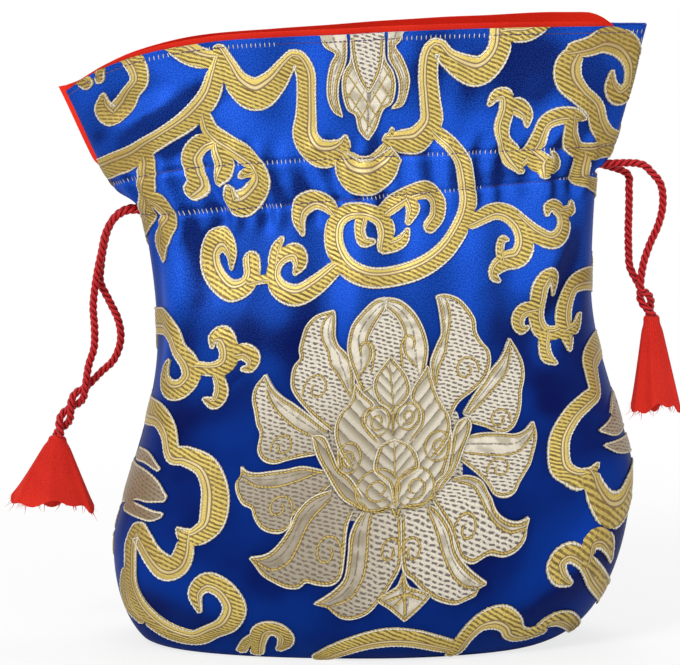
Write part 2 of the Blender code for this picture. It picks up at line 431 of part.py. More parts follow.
def share_table(ratios, shares):
    """Angle round a quarter oval at each share of its length, for each depth-to-width ratio."""
    angle = np.linspace(0, math.pi / 2, 801)
    rows = []
    for ratio in ratios:
        across = np.sin(angle)
        deep = ratio * np.cos(angle) ** OVAL_POWER
        length = np.concatenate([[0], np.cumsum(np.hypot(np.diff(across), np.diff(deep)))])
        rows.append(np.interp(shares, length / length[-1], angle))
    return np.array(rows)


RATIOS = np.linspace(0.04, 0.7, 34)
SHARES = np.linspace(0, 1, 81)
ANGLES = share_table(RATIOS, SHARES)


def angle_at(share, ratio):
    """Angle round the half oval of a cloth point, so that the cloth lies on it unstretched."""
    i = (np.clip(ratio, RATIOS[0], RATIOS[-1]) - RATIOS[0]) / (RATIOS[1] - RATIOS[0])
    row = np.minimum(i.astype(int), len(RATIOS) - 2)
    j = np.clip(np.abs(share), 0, 1) * (len(SHARES) - 1)
    col = np.minimum(j.astype(int), len(SHARES) - 2)
    down = i - row
    along = j - col
    lower = ANGLES[row, col] * (1 - along) + ANGLES[row, col + 1] * along
    upper = ANGLES[row + 1, col] * (1 - along) + ANGLES[row + 1, col + 1] * along
    return np.sign(share) * (lower * (1 - down) + upper * down)


def wrap(u, v, inset, side):
    """Points of the flat cloth on the bag.

    u and v are in millimetres, inset is the depth inside the outer face in metres, and side
    is -1 on the front and 1 on the back, where u runs towards -X as one sees it from behind.
    """
    cloth = np.asarray(v, float) * MM
    shift, rise, half_width, half_depth, slope, arch = oval_at(cloth, inset)
    angle = angle_at(np.asarray(u, float) / CLOTH_HALF_WIDTH, half_depth / half_width)
    across = -side * np.sin(angle)
    deep = np.cos(angle) ** OVAL_POWER
    flap = np.clip((cloth - CASING_TOP_CLOTH) / (MOUTH_CLOTH - CASING_TOP_CLOTH), 0, 1)
    x = shift + (half_width - inset) * across * np.cos(slope)
    y = side * ((half_depth - inset) * deep + GAP / 2 + FLAP_OPENING * flap)
    z = (rise + (half_width - inset) * across * np.sin(slope)
         + arch * (1 - across**4) * (1 - ARCH_SKEW * across))
    return np.stack([x, y, z], axis=-1)


def smooth_run(points, spacing):
    """Points along a smooth curve through the given ones, about one every spacing."""
    p = np.array(points, float)
    ends = np.vstack([2 * p[0] - p[1], p, 2 * p[-1] - p[-2]])
    out = []
    for k in range(len(p) - 1):
        a, b, c, d = ends[k:k + 4]
        count = max(1, int(round(np.linalg.norm(c - b) / spacing)))
        t = (np.arange(count) / count)[:, None]
        out.append(0.5 * (2 * b + (c - a) * t + (2 * a - 5 * b + 4 * c - d) * t**2
                          + (3 * b - a - 3 * c + d) * t**3))
    out.append(p[-1:])
    return np.vstack(out)


def thin_out(points, tolerance):
    """The points that an open run needs, to within a tolerance in mm once it lies on the bag."""
    place = wrap(points[:, 0], points[:, 1], 0.0, -1) / MM
    kept = {0, len(points) - 1}
    spans = [(0, len(points) - 1)]
    while spans:
        first, last = spans.pop()
        if last - first < 2:
            continue
        chord = place[last] - place[first]
        offset = place[first + 1:last] - place[first]
        share = np.clip(offset @ chord / max(chord @ chord, 1e-9), 0, 1)
        away = np.linalg.norm(offset - share[:, None] * chord, axis=1)
        middle = first + 1 + int(np.argmax(away))
        if away.max() > tolerance:
            kept.add(middle)
            spans += [(first, middle), (middle, last)]
    return points[sorted(kept)]


def scroll_outline(points, tolerance):
    """Closed outline of a scroll: its two edges, with a blunt point at each end."""
    run = smooth_run(points, SCROLL_SPACING)
    middle = run[:, :2]
    half = np.maximum(run[:, 2:], SCROLL_LEAST_WIDTH) / 2
    along = np.gradient(middle, axis=0)
    along /= np.linalg.norm(along, axis=1)[:, None]
    across = np.stack([-along[:, 1], along[:, 0]], axis=1)
    first = middle[:1] - along[:1] * half[:1] * SCROLL_POINT
    last = middle[-1:] + along[-1:] * half[-1:] * SCROLL_POINT
    left = thin_out(middle + across * half, tolerance)
    right = thin_out(middle - across * half, tolerance)
    return np.vstack([first, right, last, left[::-1]])


def winding(points, outline):
    """Turns of a closed outline round each point, which is not 0 inside it."""
    a = outline[None, :, :] - points[:, None, :]
    b = np.roll(outline, -1, axis=0)[None, :, :] - points[:, None, :]
    turn = np.arctan2(a[..., 0] * b[..., 1] - a[..., 1] * b[..., 0], (a * b).sum(-1))
    return np.rint(turn.sum(axis=1) / (2 * math.pi))


def triangulate(points, edges):
    """Flat Delaunay triangles that keep the given edges, wound anticlockwise."""
    result = delaunay_2d_cdt([Vector(p) for p in points], edges, [], 0, JOIN_DISTANCE)
    flat = np.array([tuple(p) for p in result[0]])
    triangles = np.array(result[2])
    a, b, c = (flat[triangles[:, k]] for k in range(3))
    area = (b[:, 0] - a[:, 0]) * (c[:, 1] - a[:, 1]) - (b[:, 1] - a[:, 1]) * (c[:, 0] - a[:, 0])
    triangles[area < 0] = triangles[area < 0][:, ::-1]
    return flat, triangles, result[3]


def rows_up(top):
    """Heights in millimetres at which a panel is held to the form."""
    belly = BELLY_CLOTH / MM
    casing = CASING_CLOTH / MM
    casing_top = CASING_TOP_CLOTH / MM
    low = [share * belly for share in LOW_ROWS]
    high = [belly + share * (casing - belly) for share in HIGH_ROWS]
    flap = [casing_top + share * (top - casing_top) for share in FLAP_ROWS]
    return low + high + [(casing + casing_top) / 2, casing_top] + flap


def across_at(columns):
    """Places across a panel, in millimetres, at which it is held to the form."""
    return sorted({sign * share * CLOTH_HALF_WIDTH for share in columns for sign in (-1, 1)})


def panel_outline(side_opening, columns):
    """Edge of a panel on the flat cloth, with a step at each side where the cords leave."""
    half = CLOTH_HALF_WIDTH
    top = MOUTH_CLOTH / MM
    low = (CASING_CLOTH + OPENING_MARGIN) / MM
    high = (CASING_TOP_CLOTH - OPENING_MARGIN) / MM
    across = across_at(columns)
    up = rows_up(top)[1:-1]
    if side_opening:
        up = [v for v in up if not low - OPENING_CLEARANCE < v < high + OPENING_CLEARANCE]
    right = [(half, v) for v in up]
    if side_opening:
        inner = half - side_opening
        below = [p for p in right if p[1] < low]
        above = [p for p in right if p[1] > high]
        right = below + [(half, low), (inner, low), (inner, high), (half, high)] + above
    left = [(-u, v) for u, v in right]
    bottom = [(u, 0.0) for u in across]
    mouth = [(u, top) for u in across]
    return np.array(bottom + right + mouth[::-1] + left[::-1])


def held_points(outline, columns, keep_clear):
    """Points inside the panel where the sheet is held to the form, away from drawn lines."""
    across = across_at(columns[:-1])
    grid = np.array([(u, v) for v in rows_up(MOUTH_CLOTH / MM)[1:-1] for u in across])
    grid = grid[winding(grid, outline) != 0]
    near = np.linalg.norm(grid[:, None, :] - keep_clear[None, :, :], axis=-1).min(axis=1)
    return grid[near > HELD_CLEARANCE]


def loop_edges(start, count):
    """Edges of a closed run of points."""
    return [(start + k, start + (k + 1) % count) for k in range(count)]


def chain_wall(faces, first, second):
    """Adds a wall between two upright chains, facing right of the way from first to second."""
    i = 0
    j = 0
    while i < len(first) - 1 or j < len(second) - 1:
        advance_second = i == len(first) - 1 or (
            j < len(second) - 1 and second[j + 1][1] <= first[i + 1][1])
        if advance_second:
            faces.append((first[i][0], second[j][0], second[j + 1][0]))
            j += 1
        else:
            faces.append((first[i][0], second[j][0], first[i + 1][0]))
            i += 1


def edge_sides(triangles):
    """The triangle on the left of each directed edge."""
    return {(int(triangle[k]), int(triangle[(k + 1) % 3])): index
            for index, triangle in enumerate(triangles) for k in range(3)}


def drawn_face(points, edges, outline, figures):
    """Flat triangles inside the outline, each with the relief and finish of its figure."""
    flat, triangles, _ = triangulate(points, edges)
    triangles = triangles[winding(flat[triangles].mean(axis=1), outline) != 0]
    middle = flat[triangles].mean(axis=1)
    relief = np.zeros(len(triangles))
    finish = np.zeros(len(triangles), int)
    for figure_outline, figure_relief, figure_finish in figures:
        inside = winding(middle, figure_outline) != 0
        relief[inside] = figure_relief
        finish[inside] = figure_finish
    return flat, triangles, relief, finish


def cloth_panel(name, side, top_inset, thickness, figures, side_opening, columns):
    """One panel as a closed sheet: a drawn face, a plain back and walls at every step.

    figures is a list of (outline, relief, finish). A later figure covers an earlier one.
    top_inset is a function of the height up the cloth.
    """
    outline = panel_outline(side_opening, columns)
    loops = [outline] + [figure[0] for figure in figures]
    drawn = np.vstack(loops)
    edges = []
    start = 0
    for loop in loops:
        edges += loop_edges(start, len(loop))
        start += len(loop)
    flat, triangles, relief, finish = drawn_face(drawn, edges, outline, figures)
    sides = edge_sides(triangles)

    # Lines hidden inside a figure go, so that only its visible steps are kept
    steps = [edge for edge, index in sides.items()
             if edge[::-1] not in sides or (edge[0] < edge[1] and (
                 relief[index], finish[index]) != (relief[sides[edge[::-1]]],
                                                   finish[sides[edge[::-1]]]))]
    kept = sorted({vertex for edge in steps for vertex in edge})
    place = {vertex: k for k, vertex in enumerate(kept)}
    steps = [(place[a], place[b]) for a, b in steps]
    grid = held_points(outline, columns, flat[kept])
    flat, triangles, relief, finish = drawn_face(np.vstack([flat[kept], grid]), steps, outline,
                                                 figures)
    sides = edge_sides(triangles)
    border = [edge for edge in sides if edge[::-1] not in sides]
    on_border = {vertex for edge in border for vertex in edge}

    # Each flat point becomes an upright chain, with a point at every relief that meets there
    bottom = -thickness
    heights = {}
    for index, triangle in enumerate(triangles):
        for vertex in triangle:
            heights.setdefault(vertex, set()).add(relief[index])
    for vertex in on_border:
        heights[vertex].add(bottom)
    chain = {}
    ids = {}
    points = []
    for vertex, levels in heights.items():
        chain[vertex] = []
        for level in sorted(levels):
            ids[vertex, level] = len(points)
            chain[vertex].append((len(points), level))
            points.append((flat[vertex][0], flat[vertex][1], level))

    def part_of_chain(vertex, low, high):
        """The points of a flat vertex's chain between two levels."""
        return [step for step in chain[vertex] if low <= step[1] <= high]

    faces = [tuple(ids[vertex, relief[index]] for vertex in triangle)
             for index, triangle in enumerate(triangles)]
    finishes = list(finish)
    for (a, b), index in sides.items():
        other = sides.get((b, a))
        low = bottom if other is None else relief[other]
        if relief[index] > low:
            before = len(faces)
            chain_wall(faces, part_of_chain(a, low, relief[index]),
                       part_of_chain(b, low, relief[index]))
            finishes += [finish[index]] * (len(faces) - before)

    # The plain back shares the border's points
    rim = sorted(on_border)
    place_in_rim = {vertex: k for k, vertex in enumerate(rim)}
    back_grid = held_points(outline, columns, flat[rim])
    back_flat, back_triangles, origins = triangulate(
        np.vstack([flat[rim], back_grid]),
        [(int(place_in_rim[a]), int(place_in_rim[b])) for a, b in border])
    back_middle = back_flat[back_triangles].mean(axis=1)
    back_triangles = back_triangles[winding(back_middle, outline) != 0]
    back_ids = {}
    for k in sorted({int(vertex) for triangle in back_triangles for vertex in triangle}):
        shared = [origin for origin in origins[k] if origin < len(rim)]
        if shared:
            back_ids[k] = ids[rim[shared[0]], bottom]
        else:
            back_ids[k] = len(points)
            points.append((back_flat[k][0], back_flat[k][1], bottom))
    faces += [tuple(back_ids[int(vertex)] for vertex in triangle[::-1])
              for triangle in back_triangles]
    finishes += [0] * len(back_triangles)

    drawn_points = np.array(points)
    inset = top_inset(drawn_points[:, 1] * MM) - drawn_points[:, 2]
    place = wrap(drawn_points[:, 0], drawn_points[:, 1], inset, side)
    mesh = bpy.data.meshes.new(name)
    mesh.from_pydata(place.tolist(), [], faces)
    mesh.polygons.foreach_set("material_index", finishes)
    mesh.shade_smooth()
    mesh.set_sharp_from_angle(angle=math.radians(CLOTH_SMOOTH_ANGLE))
    mesh.update()
    return mesh


def woven_figures():
    """Gold scrolls, then the silver flowers in the order in which they overlap."""
    gold = 1
    silver = 2
    figures = [(scroll_outline(scroll, OUTLINE_TOLERANCE), GOLD_RELIEF, gold) for scroll in SCROLLS]
    figures.append((np.array(LOBE), GOLD_RELIEF, gold))
    figures += [(scroll_outline(leaf, OUTLINE_TOLERANCE), PETAL_RELIEF, silver)
                for leaf in SIDE_LEAVES]
    figures += [(np.array(leaf), PETAL_RELIEF, silver) for leaf in PENDANT_LEAVES]
    figures.append((np.array(PENDANT), PETAL_RELIEF + PETAL_STEP, silver))
    low = PETAL_RELIEF
    for index, petal in enumerate(OUTER_PETALS):
        figures.append((np.array(petal), low + PETAL_STEP * (index // 2 % 2), silver))
    figures += [(np.array(petal), low + 2 * PETAL_STEP, silver) for petal in INNER_PETALS]
    figures += [(np.array(petal), low + 3 * PETAL_STEP, silver) for petal in HEART_PETALS]
    return figures


def lining_inset(cloth):
    """Depth of the lining: it stands back at the casing, where the cords run behind the satin."""
    channel = CHANNEL_INSET + CORD_DIAMETER / 2 + LINING_CLEARANCE
    below = (cloth - (CASING_CLOTH - CHANNEL_FADE)) / CHANNEL_FADE
    above = ((CASING_TOP_CLOTH + CHANNEL_FADE) - cloth) / CHANNEL_FADE
    near = np.clip(np.minimum(below, above), 0, 1)
    return LINING_INSET + (channel - LINING_INSET) * near * near * (3 - 2 * near)


def outer_inset(cloth):
    """The outer panels lie on the form itself."""
    return np.zeros_like(cloth)


def base_disc(name, inset, floor, thickness, columns):
    """Oval sheet that closes the bottom inside the walls."""
    across = np.array(across_at(columns))
    front = wrap(across, across * 0, inset, -1)
    back = wrap(across, across * 0, inset, 1)
    rim = np.vstack([front[:, :2], back[1:-1, :2]])
    rim = rim * (1 - BASE_RIM_GAP / np.linalg.norm(rim, axis=1))[:, None]
    count = len(rim)
    low = np.column_stack([rim, np.full(count, floor)])
    high = np.column_stack([rim, np.full(count, floor + thickness)])
    faces = [tuple(range(count))[::-1], tuple(range(count, 2 * count))]
    faces += [(k, (k + 1) % count, count + (k + 1) % count, count + k) for k in range(count)]
    mesh = bpy.data.meshes.new(name)
    mesh.from_pydata(np.vstack([low, high]).tolist(), [], faces)
    mesh.update()
    return mesh


def lane_height(upper):
    """Height up the cloth of one of the two cord lanes in the casing, in millimetres."""
    middle = (CASING_CLOTH + CASING_TOP_CLOTH) / 2
    spread = (CASING_TOP_CLOTH - CASING_CLOTH) / 2 - LANE_MARGIN
    return (middle + (spread if upper else -spread)) / MM


def run_points(upper, exit_side):
    """A drawstring through the casing: along the front, round the far side and back behind.

    exit_side is -1 where both ends leave at the left and 1 where they leave at the right.
    """
    steps = np.concatenate([np.linspace(-RUN_END, -0.8, 4), np.linspace(-0.64, 0.64, 8),
                            np.linspace(0.8, 1.0, 5)[:-1]])
    u = steps * CLOTH_HALF_WIDTH * -exit_side
    v = np.full_like(u, lane_height(upper))
    front = wrap(u, v, CHANNEL_INSET, -1)
    back = wrap(-u, v, CHANNEL_INSET, 1)
    return np.vstack([front, back[::-1]])


def twisted_pair(middle, radius, pitch, phase, up):
    """One of two strands that wind round each other along a middle line."""
    line = smooth_run(middle, TWIST_SPACING)
    step = np.linalg.norm(np.diff(line, axis=0), axis=1)
    length = np.concatenate([[0], np.cumsum(step)])
    along = np.gradient(line, axis=0)
    along /= np.linalg.norm(along, axis=1)[:, None]
    across = np.cross(along, up)
    across /= np.linalg.norm(across, axis=1)[:, None]
    out = np.cross(across, along)
    angle = (phase + 2 * math.pi * length / pitch)[:, None]
    return line + radius * (np.cos(angle) * across + np.sin(angle) * out)


def cord_end(upper, exit_side, side, route, middle, phase):
    """Free end of a drawstring: out of the casing, down its route and into the twist."""
    run = run_points(upper, exit_side)
    tip = run[0] if side < 0 else run[-1]
    inner = run[1] if side < 0 else run[-2]
    leave = (tip - inner) / np.linalg.norm(tip - inner)
    start = tip + leave * CORD_END_GAP
    out = start + leave * CORD_STRAIGHT
    twist = twisted_pair(middle, CORD_DIAMETER / 2 + GAP, TWIST_PITCH, phase,
                         np.array([0.0, 1.0, 0.0]))
    hand = smooth_run(np.vstack([[start, out], np.array(route), twist[:1]]), HANGING_SPACING)
    return np.vstack([hand[:-1], twist])


def tassel(name, top, hem, half_width):
    """Folded cloth gathered at a neck round the cord ends, and flared to its hem."""
    top = np.array(top)
    hem = np.array(hem)
    axis = hem - top
    across = np.cross(axis, (0.0, 1.0, 0.0))
    across /= np.linalg.norm(across)
    deep = np.cross(axis, across)
    deep /= np.linalg.norm(deep)
    angle = np.arange(TASSEL_POINTS) * 2 * math.pi / TASSEL_POINTS
    rings = []
    for share in TASSEL_RINGS:
        flare = share ** TASSEL_FLARE
        width = TASSEL_TOP + (half_width - TASSEL_TOP) * flare
        depth = TASSEL_TOP + (TASSEL_HALF_DEPTH - TASSEL_TOP) * flare
        fold = 1 + TASSEL_FOLD_DEPTH * flare * np.sin(TASSEL_FOLDS * angle)
        ring = (top + axis * share
                + np.outer(width * np.cos(angle), across)
                + np.outer(depth * fold * np.sin(angle), deep))
        rings.append(ring)
    points = np.vstack(rings)
    faces = [tuple(range(TASSEL_POINTS))[::-1]]
    for ring in range(len(rings) - 1):
        for k in range(TASSEL_POINTS):
            a = ring * TASSEL_POINTS + k
            b = ring * TASSEL_POINTS + (k + 1) % TASSEL_POINTS
            faces.append((a, b, b + TASSEL_POINTS, a + TASSEL_POINTS))
    faces.append(tuple(range(len(points) - TASSEL_POINTS, len(points))))
    mesh = bpy.data.meshes.new(name)
    mesh.from_pydata(points.tolist(), [], faces)
    mesh.shade_smooth()
    mesh.set_sharp_from_angle(angle=math.radians(TASSEL_SMOOTH_ANGLE))
    mesh.update()
    return mesh


def material(name, colour, roughness, metallic, sheen=0.0):
    """Plain finish of one cloth or thread."""
    made = bpy.data.materials.new(name)
    made.use_nodes = True
    shader = made.node_tree.nodes["Principled BSDF"]
    shader.inputs["Base Color"].default_value = (*colour, 1.0)
    shader.inputs["Roughness"].default_value = roughness
    shader.inputs["Metallic"].default_value = metallic
    shader.inputs["Sheen Weight"].default_value = sheen
    made.diffuse_color = (*colour, 1.0)
    return made


def add_piece(name, data, materials, collection):
    """Object of one sub-part, in the bag's collection."""
    piece = bpy.data.objects.new(name, data)
    for finish in materials:
        data.materials.append(finish)
    collection.objects.link(piece)
    return piece


def cord_curve(name, points):
    """Round cord with closed ends through the given points."""
    curve = bpy.data.curves.new(name, "CURVE")
    curve.dimensions = "3D"
    curve.bevel_depth = CORD_DIAMETER / 2
    curve.bevel_resolution = 2
    curve.use_fill_caps = True
    spline = curve.splines.new("POLY")
    spline.points.add(len(points) - 1)
    spline.points.foreach_set("co", np.column_stack([points, np.ones(len(points))]).ravel())
    return curve


def build():
    """Model every piece of the bag."""
    for old in list(bpy.data.objects):
        bpy.data.objects.remove(old)
    collection = bpy.data.collections.new("brocade_bag")
    bpy.context.scene.collection.children.link(collection)

    satin = material("blue satin", (0.004, 0.028, 0.33), 0.38, 0.0, 0.3)
    gold = material("gold weave", (0.62, 0.47, 0.14), 0.42, 0.5)
    silver = material("silver weave", (0.70, 0.66, 0.58), 0.45, 0.35)
    red_lining = material("red lining", (0.70, 0.03, 0.012), 0.6, 0.0, 0.2)
    red_cord = material("red cord", (0.55, 0.008, 0.008), 0.35, 0.0, 0.3)
    red_tassel = material("red tassel cloth", (0.74, 0.02, 0.015), 0.55, 0.0, 0.3)

    figures = woven_figures()
    for name, side in (("front", -1), ("back", 1)):
        outer = cloth_panel(f"{name}_panel", side, outer_inset, OUTER_THICKNESS, figures,
                            SIDE_OPENING, COLUMNS)
        add_piece(f"{name}_panel", outer, (satin, gold, silver), collection)
        lining = cloth_panel(f"{name}_lining", side, lining_inset, LINING_THICKNESS, [], 0,
                             LINING_COLUMNS)
        add_piece(f"{name}_lining", lining, (red_lining,), collection)

    base_panel = base_disc("base_panel", OUTER_THICKNESS, 0.0, OUTER_THICKNESS, COLUMNS)
    add_piece("base_panel", base_panel, (satin,), collection)
    base_lining = base_disc("base_lining", LINING_INSET + LINING_THICKNESS, LINING_INSET,
                            LINING_THICKNESS, LINING_COLUMNS)
    add_piece("base_lining", base_lining, (red_lining,), collection)

    for name, upper, exit_side in (("left", False, -1), ("right", True, 1)):
        run = run_points(upper, exit_side)
        add_piece(f"{name}_drawstring", cord_curve(f"{name}_drawstring", run), (red_cord,),
                  collection)
    ends = (
        ("left_cord_front", False, -1, -1, LEFT_FRONT_ROUTE, LEFT_TWIST, math.pi * 1.5),
        ("left_cord_back", False, -1, 1, LEFT_BACK_ROUTE, LEFT_TWIST, math.pi * 0.5),
        ("right_cord_front", True, 1, -1, RIGHT_FRONT_ROUTE, RIGHT_TWIST, math.pi * 1.5),
        ("right_cord_back", True, 1, 1, RIGHT_BACK_ROUTE, RIGHT_TWIST, math.pi * 0.5),
    )
    for name, upper, exit_side, side, route, middle, phase in ends:
        points = cord_end(upper, exit_side, side, route, middle, phase)
        add_piece(name, cord_curve(name, points), (red_cord,), collection)

    for name, middle, hem, half_width in (
            ("left_tassel", LEFT_TWIST, LEFT_HEM, LEFT_TASSEL_HALF_WIDTH),
            ("right_tassel", RIGHT_TWIST, RIGHT_HEM, RIGHT_TASSEL_HALF_WIDTH)):
        end = np.array(middle[-1])
        down = (np.array(hem) - end) / np.linalg.norm(np.array(hem) - end)
        top = end + down * TASSEL_END_GAP
        add_piece(name, tassel(name, top, hem, half_width), (red_tassel,), collection)


build()
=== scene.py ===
"""Brocade drawstring bag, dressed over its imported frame.

The cloth is drawn flat in millimetres, u across a panel and v up it, and every piece of
cloth, weave and thread is laid on the form of the bag by one wrapping function, so the
scrolls and the lotus follow its folds. Lengths are metres unless a name says mm.
"""

import logging
import math
from collections.abc import Callable
from dataclasses import astuple, dataclass, field
from enum import Enum, IntEnum

import bpy
import numpy as np
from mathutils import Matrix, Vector


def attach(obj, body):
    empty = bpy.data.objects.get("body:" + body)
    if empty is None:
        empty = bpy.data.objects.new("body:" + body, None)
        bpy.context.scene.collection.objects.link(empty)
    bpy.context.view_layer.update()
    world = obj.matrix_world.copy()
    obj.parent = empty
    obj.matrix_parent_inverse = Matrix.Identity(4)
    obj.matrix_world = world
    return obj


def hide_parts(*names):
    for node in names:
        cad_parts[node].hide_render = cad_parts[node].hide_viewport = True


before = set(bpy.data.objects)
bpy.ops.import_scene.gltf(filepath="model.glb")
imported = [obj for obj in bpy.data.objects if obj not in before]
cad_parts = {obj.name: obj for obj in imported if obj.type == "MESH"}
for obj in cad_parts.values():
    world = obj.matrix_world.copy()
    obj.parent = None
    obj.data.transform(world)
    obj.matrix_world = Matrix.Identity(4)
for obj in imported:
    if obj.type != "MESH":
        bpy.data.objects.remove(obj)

LOG = logging.getLogger("brocade_bag")
MM = 0.001
CLOTH_UV_MM = 180.0
RIB_AXIS_MM = 4.7
RIB_SLOPE = 1.15
Array = np.ndarray
Piece = bpy.types.Object
Material = bpy.types.Material
Tree = bpy.types.NodeTree
Node = bpy.types.Node
Point = tuple[float, float]
Run = tuple[tuple[float, float, float], ...]
Edge = tuple[Point, ...]
Colour = tuple[float, float, float]


class Side(IntEnum):
    """Panel of the bag, as the sign of its face along Y."""

    FRONT = -1
    BACK = 1


class Weave(Enum):
    """Finishes of the woven figures."""

    GOLD = "gold"
    HATCHED_SILVER = "hatched_silver"
    PLAIN_SILVER = "plain_silver"
    RIBBED_SILVER = "ribbed_silver"


def grouped(size: int, *values: float) -> tuple[tuple[float, ...], ...]:
    """The values in groups of a size."""
    return tuple(zip(*[iter(values)] * size))


def run(*tenths: int) -> Run:
    """Points of three numbers in millimetres, from a flat list in tenths of one."""
    return grouped(3, *(value / 10 for value in tenths))


def edge(*tenths: int) -> Edge:
    """Points of two numbers in millimetres, from a flat list in tenths of one."""
    return grouped(2, *(value / 10 for value in tenths))


